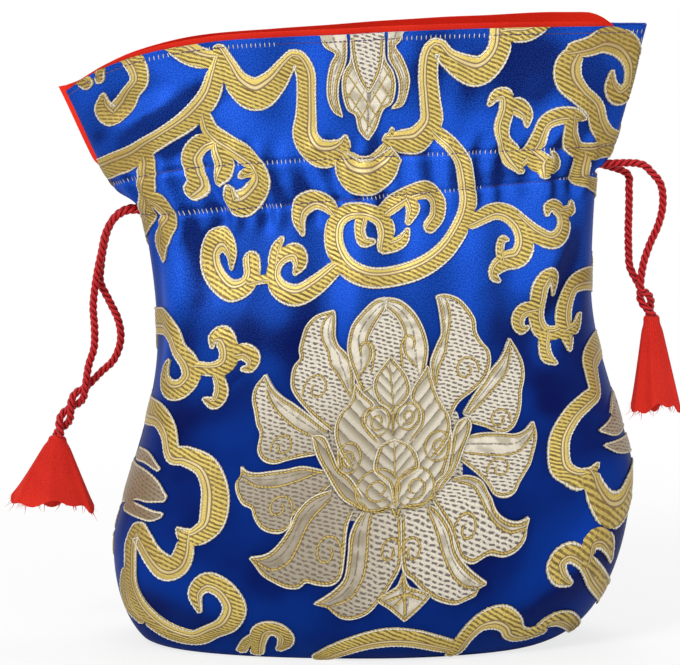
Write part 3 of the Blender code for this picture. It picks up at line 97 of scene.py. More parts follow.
# The drawing on the flat cloth: u and v, and the width of a scroll, from point to point
SCROLLS = (
    # Frame over the pendant, from the top left corner to the top right
    run(-336, 1635, 34, -318, 1595, 42, -298, 1548, 64, -256, 1519, 82, -210, 1546, 62, -172, 1590,
        42, -148, 1606, 42, -128, 1570, 46, -129, 1515, 46, -134, 1460, 52, -140, 1408, 66, -115,
        1370, 70, -75, 1364, 66, -44, 1384, 44, -36, 1406, 10),
    run(-56, 1366, 30, -32, 1354, 32, -5, 1336, 38, 35, 1338, 40, 70, 1370, 36, 84, 1420, 12),
    run(80, 1392, 44, 110, 1390, 58, 150, 1395, 66, 185, 1435, 58, 182, 1490, 50, 176, 1550, 46,
        180, 1600, 44, 196, 1620, 40, 222, 1593, 42, 260, 1568, 62, 295, 1558, 70, 325, 1578, 58,
        343, 1615, 50, 345, 1670, 52),
    run(364, 1648, 44, 410, 1650, 44, 455, 1675, 44),
    # Diagonal to the left edge, with the piece above it
    run(-340, 1610, 34, -364, 1535, 46, -398, 1490, 50, -443, 1456, 46, -498, 1431, 42, -554, 1412,
        48, -600, 1395, 60, -660, 1388, 64, -730, 1384, 64),
    run(-430, 1675, 60, -400, 1636, 54, -368, 1618, 48, -340, 1614, 40),
    # Hook at the top left, and two pieces cut by the mouth
    run(-544, 1675, 50, -529, 1630, 47, -532, 1593, 44, -563, 1568, 42, -592, 1540, 56, -624, 1525,
        54, -636, 1556, 42, -625, 1588, 12),
    run(-670, 1675, 34, -652, 1640, 28),
    run(-612, 1675, 28, -619, 1634, 20),
    # Left cloud
    run(-388, 1468, 30, -380, 1428, 46, -345, 1398, 50, -308, 1373, 50, -278, 1338, 50, -273, 1306,
        50, -305, 1276, 42, -342, 1258, 54, -368, 1262, 46, -363, 1286, 22),
    run(-278, 1330, 32, -304, 1322, 24, -324, 1314, 8),
    run(-384, 1410, 44, -420, 1398, 44, -448, 1370, 47, -449, 1332, 44, -448, 1304, 44, -474, 1289,
        34),
    run(-364, 1385, 42, -357, 1352, 46, -366, 1326, 40, -385, 1306, 18),
    # Left edge
    run(-567, 1400, 40, -569, 1360, 40, -582, 1315, 40, -620, 1270, 40, -670, 1230, 46, -730, 1200,
        50),
    run(-600, 1290, 24, -572, 1272, 44, -566, 1236, 42, -590, 1204, 54, -606, 1174, 62, -596, 1138,
        16),
    # Left lower scrolls
    run(-400, 1106, 12, -398, 1140, 38, -418, 1170, 60, -446, 1170, 62, -467, 1144, 50, -463, 1108,
        46, -436, 1075, 46, -396, 1055, 46, -355, 1062, 42, -334, 1086, 44, -335, 1118, 46),
    run(-340, 1073, 26, -305, 1076, 18, -276, 1075, 30),
    run(-212, 1084, 12, -200, 1104, 36, -209, 1129, 40, -238, 1129, 36, -266, 1110, 38, -273, 1078,
        40, -250, 1048, 42, -205, 1033, 46, -158, 1050, 46, -106, 1082, 36),
    run(-270, 1115, 34, -264, 1143, 28, -249, 1164, 14),
    # Great loop under the pendant
    run(202, 1410, 32, 240, 1375, 38, 268, 1330, 40, 274, 1270, 42, 270, 1205, 42, 248, 1150, 44,
        200, 1098, 46, 130, 1063, 46, 50, 1050, 44, -20, 1058, 44, -78, 1090, 48, -106, 1140, 52,
        -98, 1193, 48, -60, 1220, 42, -10, 1216, 42, 28, 1194, 44, 40, 1158, 46, 30, 1124, 34),
    run(32, 1123, 34, 63, 1124, 32, 86, 1134, 28, 99, 1154, 12),
    run(-24, 1204, 34, -32, 1170, 26, -24, 1142, 26, 2, 1138, 12),
    run(34, 1208, 42, 75, 1233, 44, 120, 1252, 42, 164, 1260, 48, 189, 1228, 42, 185, 1185, 42,
        162, 1160, 36),
    run(112, 1242, 36, 118, 1208, 34, 103, 1176, 16),
    run(-102, 1224, 30, -120, 1246, 44, -155, 1254, 42, -190, 1239, 44, -200, 1210, 34, -191, 1172,
        10),
    # Right scrolls
    run(276, 1158, 36, 310, 1170, 40, 350, 1178, 44, 388, 1166, 46, 416, 1132, 44, 420, 1088, 42,
        400, 1054, 46, 364, 1050, 44, 332, 1038, 36, 321, 1019, 26, 336, 1005, 8),
    run(352, 1055, 30, 350, 1083, 24, 362, 1102, 20, 377, 1100, 8),
    run(414, 1150, 30, 445, 1108, 40, 483, 1084, 40, 520, 1100, 42, 534, 1136, 40, 518, 1166, 40,
        494, 1172, 32, 483, 1152, 10),
    run(538, 1150, 34, 564, 1152, 28, 572, 1174, 10),
    # Right cloud
    run(327, 1478, 10, 342, 1499, 26, 366, 1498, 34, 372, 1465, 38, 364, 1425, 38, 372, 1388, 36,
        404, 1340, 52, 427, 1300, 22),
    run(376, 1474, 32, 403, 1470, 42, 427, 1450, 32, 429, 1426, 12),
    run(423, 1326, 40, 452, 1360, 42, 464, 1402, 34, 480, 1432, 36, 515, 1447, 40, 554, 1446, 36,
        584, 1440, 10),
    run(546, 1440, 32, 547, 1398, 40, 573, 1360, 44, 615, 1348, 50, 670, 1356, 54, 730, 1350, 54),
    run(456, 1346, 42, 480, 1316, 54, 512, 1308, 48, 514, 1332, 30, 498, 1352, 10),
    run(486, 1312, 46, 485, 1276, 20),
    # Right top frame
    run(544, 1604, 42, 526, 1568, 62, 533, 1530, 60, 566, 1496, 50, 610, 1465, 50, 633, 1420, 46,
        665, 1382, 56, 730, 1360, 60),
    run(536, 1604, 38, 575, 1613, 46, 616, 1628, 62, 662, 1612, 60, 694, 1568, 48, 702, 1515, 50,
        672, 1492, 44, 647, 1516, 30, 643, 1550, 8),
    run(596, 1336, 40, 598, 1290, 44, 607, 1250, 48, 645, 1224, 42, 730, 1186, 48),
    # Left middle spiral and its flower
    run(-730, 980, 60, -660, 988, 60, -590, 989, 60, -550, 966, 50, -530, 928, 42, -502, 896, 46,
        -489, 860, 52, -512, 830, 50, -550, 828, 48, -578, 852, 44, -575, 882, 26, -564, 898, 10),
    run(-474, 878, 34, -440, 875, 30, -406, 876, 44, -386, 892, 50, -387, 924, 48, -404, 952, 50,
        -430, 952, 32, -432, 931, 10),
    run(-384, 906, 42, -348, 912, 38, -323, 894, 38, -327, 871, 26, -347, 869, 8),
    run(-416, 868, 30, -402, 840, 30, -397, 810, 38, -410, 790, 32, -441, 801, 8),
    # Left lower frame
    run(-730, 760, 65, -650, 764, 65, -585, 760, 58, -538, 724, 50, -507, 666, 44, -465, 658, 46,
        -410, 632, 52, -379, 585, 60, -367, 530, 68, -372, 476, 62, -410, 450, 46, -434, 456, 36,
        -452, 473, 10),
    run(-428, 448, 36, -433, 414, 48, -449, 384, 54, -478, 378, 60, -512, 406, 50, -542, 444, 46,
        -572, 472, 42, -582, 435, 38, -578, 380, 36, -579, 320, 46, -568, 260, 60, -530, 205, 60,
        -485, 168, 64, -435, 156, 60, -385, 188, 52, -338, 220, 54, -316, 270, 54, -338, 318, 48,
        -378, 338, 46, -406, 313, 34, -399, 266, 10),
    run(-596, 365, 20, -610, 310, 42, -610, 260, 40, -580, 222, 30),
    # Along the bottom
    run(-318, 100, 30, -296, 146, 32, -272, 174, 30),
    run(-276, 90, 38, -270, 140, 40, -255, 193, 50, -220, 202, 44, -195, 175, 42, -198, 138, 38,
        -210, 116, 24),
    run(-86, 75, 66, -55, 122, 66, -5, 160, 60, 55, 176, 58, 120, 170, 50, 185, 148, 46, 260, 116,
        44),
    run(270, 95, 44, 269, 150, 46, 290, 193, 52, 332, 204, 58, 374, 184, 50, 408, 150, 46, 448,
        134, 46, 490, 140, 36),
    run(478, 134, 30, 492, 172, 42, 530, 176, 40, 575, 158, 36, 630, 130, 30),
    # Right middle flower and scroll
    run(486, 946, 8, 482, 982, 30, 466, 998, 38, 444, 974, 42, 440, 935, 44, 440, 890, 42, 454,
        854, 42, 486, 842, 36, 520, 848, 40),
    run(434, 920, 36, 400, 918, 38, 384, 894, 36, 394, 870, 26, 413, 872, 8),
    run(462, 842, 34, 451, 810, 30, 452, 783, 32, 470, 765, 12),
    run(730, 940, 60, 660, 956, 60, 600, 964, 54, 558, 954, 46, 533, 916, 48, 522, 872, 48, 526,
        828, 42, 524, 792, 14),
    run(532, 838, 36, 560, 845, 30, 578, 874, 12),
    # Right lower frame
    run(730, 765, 70, 660, 768, 74, 602, 746, 70, 587, 705, 54, 574, 658, 42, 535, 642, 46, 486,
        618, 48, 444, 572, 50, 430, 520, 50, 434, 476, 50, 466, 448, 44, 500, 448, 36, 520, 468,
        10),
    run(498, 446, 36, 512, 414, 44, 544, 384, 52, 586, 380, 54, 630, 402, 50, 680, 410, 50, 730,
        405, 50),
    run(484, 268, 8, 450, 284, 30, 434, 310, 40, 458, 326, 32, 492, 314, 30, 520, 295, 32, 563,
        266, 40, 615, 238, 40, 680, 212, 40),
    run(506, 308, 34, 507, 338, 34, 534, 342, 32, 566, 324, 26, 593, 296, 8),
)

# Silver leaves of the side flowers, as scrolls
SIDE_LEAVES = (
    run(-730, 580, 100, -660, 582, 94, -600, 584, 74, -550, 570, 56, -510, 554, 20),
    run(-660, 656, 30, -600, 652, 26, -543, 626, 8),
    run(-640, 530, 30, -580, 518, 28, -535, 508, 24, -508, 510, 12),
    run(730, 565, 64, 660, 562, 62, 605, 550, 48, 554, 554, 8),
    run(730, 478, 48, 660, 486, 44, 600, 494, 34, 556, 510, 8),
    run(730, 616, 30, 660, 608, 26, 615, 588, 8),
)


@dataclass(frozen=True)
class Petal:
    """One petal of the lotus between two edges that run from its foot to its tip.

    The stripe line parts a plain band along the named edge from the hatched rest. Ribs is
    the height between the quilted ribs of a petal, in millimetres, where it has them.
    """

    left: Edge
    right: Edge
    level: float
    weave: Weave = Weave.HATCHED_SILVER
    ribs: float = 0.0
    stripe: Edge = ()
    stripe_on_left: bool = False
    curl: tuple[float, float, float, float] | None = None

    def outline(self, up: int, down: int) -> Array:
        """Up the left edge and down the right one, by a count of points for each."""
        return np.vstack([resample(self.left, up), resample(self.right, down)[::-1]])


OUTER_PETALS = (
    Petal(
        edge(-22, 465, -48, 420, -52, 380, -58, 335, -78, 312, -98, 298, -125, 282),
        edge(62, 438, 65, 390, 65, 345, 48, 312, 25, 278, 0, 250, -32, 238, -60, 242, -82, 260,
            -95, 272, -125, 282),
        level=0.1, stripe_on_left=True, curl=(3.8, 37.5, 2.5, -1.0),
        stripe=edge(-2, 460, -10, 420, -12, 375, -18, 332, -42, 292, -85, 275)),
    Petal(
        edge(62, 438, 70, 342, 98, 312, 135, 280, 172, 260, 208, 250, 230, 255, 255, 265, 255, 278,
            275, 288),
        edge(115, 462, 152, 430, 175, 398, 190, 358, 220, 325, 252, 302, 275, 288),
        level=0.12, curl=(9.0, 37.0, 2.6, 1.0),
        stripe=edge(120, 445, 142, 402, 160, 358, 190, 312, 222, 288, 250, 282)),
    Petal(
        edge(-95, 532, -138, 520, -168, 488, -182, 448, -208, 415, -235, 398, -272, 395),
        edge(-45, 468, -58, 428, -62, 380, -68, 338, -88, 322, -120, 325, -145, 332, -162, 320,
            -190, 322, -222, 338, -245, 355, -260, 378, -272, 395),
        level=0.26, stripe_on_left=True, curl=(-10.0, 39.0, 3.2, -1.0),
        stripe=edge(-95, 512, -135, 465, -160, 415, -185, 378, -222, 365, -260, 388)),
    Petal(
        edge(132, 472, 145, 440, 172, 402, 192, 362, 205, 342, 232, 330, 255, 338, 272, 342, 305,
            335, 332, 342, 348, 360, 348, 380, 352, 398),
        edge(182, 512, 215, 512, 245, 492, 260, 452, 275, 418, 298, 400, 325, 392, 345, 395, 352,
            398),
        level=0.28, curl=(21.2, 39.5, 2.9, 1.0),
        stripe=edge(188, 505, 228, 478, 248, 432, 275, 398, 310, 378, 345, 380)),
    Petal(
        edge(-108, 582, -165, 602, -200, 600, -232, 600, -272, 600, -298, 608, -312, 622),
        edge(-95, 550, -138, 508, -178, 482, -182, 455, -202, 440, -230, 445, -252, 462, -268, 490,
            -275, 510, -298, 525, -315, 555, -320, 580, -310, 600, -312, 622),
        level=0.12, stripe_on_left=True, curl=(-21.2, 50.5, 3.0, -1.0),
        stripe=edge(-120, 585, -135, 580, -175, 568, -222, 560, -270, 568, -300, 590)),
    Petal(
        edge(200, 560, 232, 522, 258, 485, 275, 448, 295, 438, 318, 442, 332, 468, 345, 488, 360,
            512, 368, 535, 378, 565, 382, 590, 378, 625),
        edge(222, 618, 258, 618, 298, 610, 330, 600, 355, 605, 378, 625),
        level=0.14, curl=(29.0, 51.5, 2.9, 1.0),
        stripe=edge(212, 575, 258, 560, 302, 550, 335, 552, 360, 575, 378, 600)),
    Petal(
        edge(-100, 630, -168, 628, -202, 625, -235, 620, -262, 632, -278, 658, -278, 700, -290,
            725, -300, 758, -310, 792, -305, 822, -282, 850),
        edge(-115, 688, -158, 728, -202, 765, -230, 785, -258, 812, -282, 850),
        level=0.28, curl=(-21.8, 66.2, 2.9, 1.0),
        stripe=edge(-118, 652, -155, 680, -198, 710, -235, 745, -260, 778, -275, 812)),
    Petal(
        edge(215, 682, 242, 722, 270, 755, 290, 782, 320, 810, 350, 855),
        edge(225, 655, 265, 635, 302, 610, 328, 618, 345, 645, 355, 675, 362, 712, 375, 748, 378,
            785, 368, 820, 350, 855),
        level=0.3, stripe_on_left=True, curl=(29.8, 64.8, 2.7, -1.0),
        stripe=edge(228, 675, 258, 700, 292, 732, 325, 765, 340, 800, 348, 835)),
    Petal(
        edge(-102, 680, -165, 742, -210, 800, -215, 842, -208, 865, -195, 880, -198, 902, -192,
            930, -182, 958, -160, 978, -132, 985, -108, 988),
        edge(-52, 728, -52, 800, -58, 848, -75, 880, -95, 900, -105, 925, -105, 955, -105, 978,
            -108, 988),
        level=0.18, curl=(-14.8, 79.8, 3.5, 1.0),
        stripe=edge(-60, 765, -92, 822, -115, 855, -122, 885, -138, 918, -142, 948, -130, 972,
            -112, 982)),
    Petal(
        edge(145, 745, 142, 795, 142, 832, 160, 872, 172, 895, 172, 925, 168, 962, 162, 992),
        edge(180, 665, 205, 710, 242, 735, 272, 760, 290, 795, 290, 832, 272, 860, 260, 888, 258,
            920, 242, 952, 220, 978, 188, 992, 162, 992),
        level=0.2, stripe_on_left=True, curl=(22.8, 79.5, 3.2, -1.0),
        stripe=edge(150, 758, 158, 805, 178, 845, 185, 880, 195, 922, 195, 952, 188, 980)),
    Petal(
        edge(-30, 772, -50, 818, -65, 862, -70, 902, -58, 950, -25, 985, 2, 1002, 28, 1005),
        edge(115, 775, 128, 822, 135, 865, 125, 915, 102, 960, 68, 992, 28, 1005),
        level=0.3),
    Petal(
        edge(72, 332, 62, 305, 45, 295, 20, 280, 50, 258, 92, 225),
        edge(72, 332, 88, 302, 115, 290, 142, 278, 122, 252, 92, 225),
        level=0.12, weave=Weave.PLAIN_SILVER),
)

# Plain ribbons that turn in at the head of the lotus, and the ribbed flames of its heart
RIBBONS = (
    Petal(
        edge(-30, 772, -50, 818, -65, 862, -70, 902, -58, 950, -25, 985, 2, 1002, 28, 1005),
        edge(-48, 820, -12, 850, -6, 882, -17, 906, -6, 934, 12, 960, 28, 980),
        level=0.52, weave=Weave.PLAIN_SILVER),
    Petal(
        edge(106, 826, 76, 854, 70, 882, 74, 910, 64, 940, 46, 965, 28, 980),
        edge(115, 775, 128, 822, 135, 865, 125, 915, 102, 960, 68, 992, 28, 1005),
        level=0.52, weave=Weave.PLAIN_SILVER),
)
FLAMES = (
    Petal(
        edge(-18, 470, -62, 532, -80, 585, -85, 670, -60, 752, 0, 792),
        edge(115, 450, 148, 495, 180, 590, 180, 665, 148, 745, 85, 780),
        level=0.42, weave=Weave.RIBBED_SILVER, ribs=4.1),
    Petal(
        edge(-40, 480, -72, 510, -105, 570, -135, 630, -150, 680),
        edge(-22, 502, -52, 555, -80, 585, -100, 630, -120, 672, -150, 680),
        level=0.5, weave=Weave.RIBBED_SILVER, ribs=4.1),
    Petal(
        edge(138, 478, 142, 508, 168, 535, 180, 590, 190, 638, 202, 660, 222, 670),
        edge(148, 482, 185, 530, 208, 582, 230, 642, 222, 670),
        level=0.5, weave=Weave.RIBBED_SILVER, ribs=4.1),
    Petal(
        edge(-52, 580, -82, 632, -95, 678, -88, 720, -60, 752, -48, 800),
        edge(12, 642, -22, 692, -20, 722, 0, 738, -30, 772, -48, 800),
        level=0.58, weave=Weave.RIBBED_SILVER, ribs=4.1),
    Petal(
        edge(80, 632, 110, 670, 112, 708, 90, 742, 98, 772, 118, 800, 132, 822),
        edge(138, 572, 165, 605, 180, 632, 180, 678, 165, 710, 150, 750, 132, 822),
        level=0.58, weave=Weave.RIBBED_SILVER, ribs=4.1),
    Petal(
        edge(45, 650, 42, 712, 12, 742, -2, 775, 2, 810, 40, 858),
        edge(45, 650, 48, 712, 70, 732, 88, 760, 78, 805, 40, 858),
        level=0.72, weave=Weave.RIBBED_SILVER, ribs=2.9),
    Petal(
        edge(48, 465, 35, 528, 2, 565, 5, 602, 18, 630, 50, 640),
        edge(52, 462, 58, 525, 102, 552, 100, 592, 80, 622, 50, 640),
        level=0.8, weave=Weave.RIBBED_SILVER, ribs=3.4),
)

# Rounds of the lotus: centre, half width and half height in millimetres, and level
BEADS = grouped(5,
    0.8, 69.2, 3, 3.8, 0.95, 8.2, 69.5, 2.7, 3.5, 0.95, -5.8, 60.8, 2.7, 4, 0.92, 15, 60.5, 3, 4,
        0.92, 1, 51.5, 5, 5.3, 1.1, 9.5, 50.5, 4.3, 5.3, 1.1)

# Threads drawn over the flowers: veins, hooks and the collar under the heart
VEINS = (
    edge(36, 840, 42, 780, 47, 722),
    edge(48, 630, 49, 580, 49, 534),
)
HOOKS = (
    edge(-9, 820, -5, 850, -2, 876, -12, 899, -30, 902, -38, 888, -33, 872),
    edge(70, 820, 68, 850, 67, 878, 79, 903, 97, 899, 101, 882, 94, 868),
    edge(-72, 515, -40, 485, -18, 468, 15, 455, 40, 462, 52, 435, 62, 458, 88, 460, 115, 460, 142,
        478),
    edge(72, 332, 79, 296, 92, 228),
    edge(36, 276, 84, 286, 126, 270),
    edge(56, 258, 84, 284, 108, 292),
)

PENDANT_BODY = Petal(
    edge(-15, 1675, -14, 1600, -33, 1563, -37, 1519, -27, 1475, -8, 1460, 0, 1422, 21, 1396),
    edge(70, 1675, 68, 1600, 87, 1563, 93, 1528, 84, 1488, 61, 1471, 43, 1427, 21, 1396),
    level=0.34, weave=Weave.PLAIN_SILVER)
PENDANT_HEART = Petal(
    edge(-13, 1675, -12, 1615, -4, 1570, 10, 1536, 26, 1514),
    edge(68, 1675, 66, 1615, 58, 1570, 42, 1536, 26, 1514),
    level=0.6)
PENDANT_LEAVES = (
    Petal(
        edge(-90, 1675, -76, 1634, -50, 1614, -62, 1590, -72, 1550, -74, 1506, -62, 1471, -40,
            1456),
        edge(-22, 1675, -24, 1620, -28, 1590, -45, 1546, -49, 1506, -46, 1482, -40, 1456),
        level=0.14, weave=Weave.PLAIN_SILVER),
    Petal(
        edge(78, 1675, 78, 1620, 79, 1594, 96, 1563, 104, 1528, 98, 1492, 82, 1473),
        edge(124, 1675, 106, 1638, 94, 1624, 112, 1594, 128, 1546, 122, 1506, 109, 1480, 82, 1473),
        level=0.14, weave=Weave.PLAIN_SILVER),
)
LOBE = Petal(
    edge(-67, 1342, -68, 1308, -54, 1278, -26, 1262, 18, 1260, 58, 1276, 90, 1306, 105, 1343),
    edge(-40, 1370, -10, 1348, 20, 1346, 40, 1350, 80, 1376),
    level=0.1, weave=Weave.GOLD)


def circle_of(count: int) -> Array:
    """Angles of an even count of points round a circle."""
    return np.linspace(0, math.tau, count, endpoint=False)


def way_along(line: Array) -> Array:
    """Length of a polyline up to each of its points."""
    step = np.linalg.norm(np.diff(line, axis=0), axis=1)
    return np.concatenate([[0], np.cumsum(step)])


def unit(rows: Array) -> Array:
    """The rows at length 1."""
    return rows / np.linalg.norm(rows, axis=1)[:, None]


def curve_through(points: Array, spacing: float) -> Array:
    """A smooth run through the given points: Catmull-Rom cubics, sampled evenly.

    Args:
        points: Rows of coordinates, of any width.
        spacing: Distance between samples, in the units of the first two columns.

    Returns:
        Rows along the curve, with the first and last point kept.
    """
    p = np.asarray(points, float)
    ends = np.vstack([2 * p[0] - p[1], p, 2 * p[-1] - p[-2]])
    t = np.linspace(0, 1, 24, endpoint=False)[:, None]
    a, b, c, d = (ends[k:len(p) - 1 + k, None, :] for k in range(4))
    body = 0.5 * (2 * b + (c - a) * t + (2 * a - 5 * b + 4 * c - d) * t ** 2
        + (3 * b - a - 3 * c + d) * t ** 3)
    fine = np.vstack([body.reshape(-1, p.shape[1]), p[-1:]])
    width = min(3, p.shape[1]) if p.shape[1] != 3 or spacing < 0.1 else 2
    length = way_along(fine[:, :width])
    count = max(3, int(round(length[-1] / spacing)) + 1)
    at = np.linspace(0, length[-1], count)
    return np.column_stack([np.interp(at, length, fine[:, k]) for k in range(p.shape[1])])


def resample(points: Array, count: int) -> Array:
    """The given polyline smoothed and cut into count points an equal way apart.

    Args:
        points: Rows of flat points.
        count: How many points to give back.

    Returns:
        count rows along the curve.
    """
    fine = curve_through(np.asarray(points, float), 0.2)
    length = way_along(fine)
    at = np.linspace(0, length[-1], count)
    return np.column_stack([np.interp(at, length, fine[:, k]) for k in range(2)])


def normals_of(line: Array) -> Array:
    """Unit normals of a flat polyline, to the left of its direction."""
    along = np.gradient(line, axis=0)
    along /= np.maximum(np.linalg.norm(along, axis=1), 1e-9)[:, None]
    return np.stack([-along[:, 1], along[:, 0]], axis=1)


def along_line(u: Array, v: Array, u0: float, v0: float, u1: float,
               v1: float) -> tuple[Array, Array]:
    """Share of the way along a line nearest to each place, and the distance from it."""
    du, dv = u1 - u0, v1 - v0
    t = np.clip(((u - u0) * du + (v - v0) * dv) / (du * du + dv * dv), 0, 1)
    return t, np.hypot(u - u0 - t * du, v - v0 - t * dv)


def turns_round(points: Array, outline: Array) -> Array:
    """Turns of a closed outline round each point, by signed crossings of a ray.

    Args:
        points: Rows of flat points.
        outline: Rows of the closed outline's corners.

    Returns:
        Whole numbers, which are not 0 inside the outline.
    """
    turns = np.zeros(len(points), int)
    low = outline.min(axis=0)
    high = outline.max(axis=0)
    near = np.nonzero(((points >= low) & (points <= high)).all(axis=1))[0]
    if not len(near):
        return turns
    p = points[near]
    a = outline
    b = np.roll(outline, -1, axis=0)
    cross = (b[:, 0] - a[:, 0]) * (p[:, None, 1] - a[:, 1]) - (p[:, None, 0] - a[:, 0]) * (b[:, 1]
        - a[:, 1])
    up = (a[:, 1] <= p[:, None, 1]) & (b[:, 1] > p[:, None, 1]) & (cross > 0)
    down = (a[:, 1] > p[:, None, 1]) & (b[:, 1] <= p[:, None, 1]) & (cross < 0)
    turns[near] = up.sum(axis=1) - down.sum(axis=1)
    return turns


# Soft ridges and grooves of the cloth: two ends of a line, its half width, its height in mm
CREASES = grouped(
    6,
    -68, 143, -34, 158, 4.2, 0.95, -69, 152, -40, 155, 4, -0.8, -58, 137, -36, 141, 3.2, -0.8,
    -34, 150, -20, 132, 5, 0.6, -56, 119, -34, 103, 5, -0.7, -60, 112, -36, 84, 6, 0.7,
    62, 116, 36, 92, 5.5, 0.65, 58, 104, 40, 78, 5, -0.65, -64, 40, -30, 20, 5.5, 0.6,
    66, 44, 34, 18, 5.5, 0.6, 26, 162, 24, 140, 4, 0.7, 52, 163, 47, 139, 4.5, -0.6,
    -8, 124, 4, 106, 6, 0.55, 20, 124, 30, 100, 5, -0.5)
# Broad painted light and shade of the satin: two ends of a line, its half width, its weight
PAINTED_LIGHT_AND_SHADE = grouped(6,
    18, 158, 58, 153, 8, -0.62, 64, 150, 58, 128, 5, -0.45, 16, 142, 50, 143, 5, 0.42, 24, 127.6,
        50, 129.4, 2.4, -0.5, 14, 118, 50, 112, 9, 0.34, 56, 116, 58, 96, 5, -0.4, -66.5, 148, -52,
        148, 3.2, -0.62, -52, 148, -38, 153, 3.4, -0.6, -53.5, 139, -41, 142, 2.6, -0.5, -45, 161,
        -35, 157, 3, 0.42, -32, 146, -18, 137, 4.5, 0.45, -62, 123, -53, 106, 5, 0.42, -51, 118.5,
        -48.5, 104.5, 2.6, -0.35, -34, 126.6, -14, 127.4, 2, -0.4, -40, 98, -20, 92, 5, -0.34, -50,
        128, -30, 131, 2.5, 0.36, 0, 112, 2, 98, 4, 0.3, -12, 128.8, 6, 129.6, 2.4, 0.34, -2, 162,
        12, 161, 3, 0.3, -50, 74, -34, 82, 5, -0.24, 38, 86, 44, 66, 4.5, -0.24, -40, 30, -20, 24,
        6, 0.16)


@dataclass(frozen=True)
class Level:
    """One level oval of the bag, in metres and degrees."""

    cloth: float
    rise: float
    shift: float
    half_width: float
    half_depth: float
    slope: float
    arch: float = 0.0


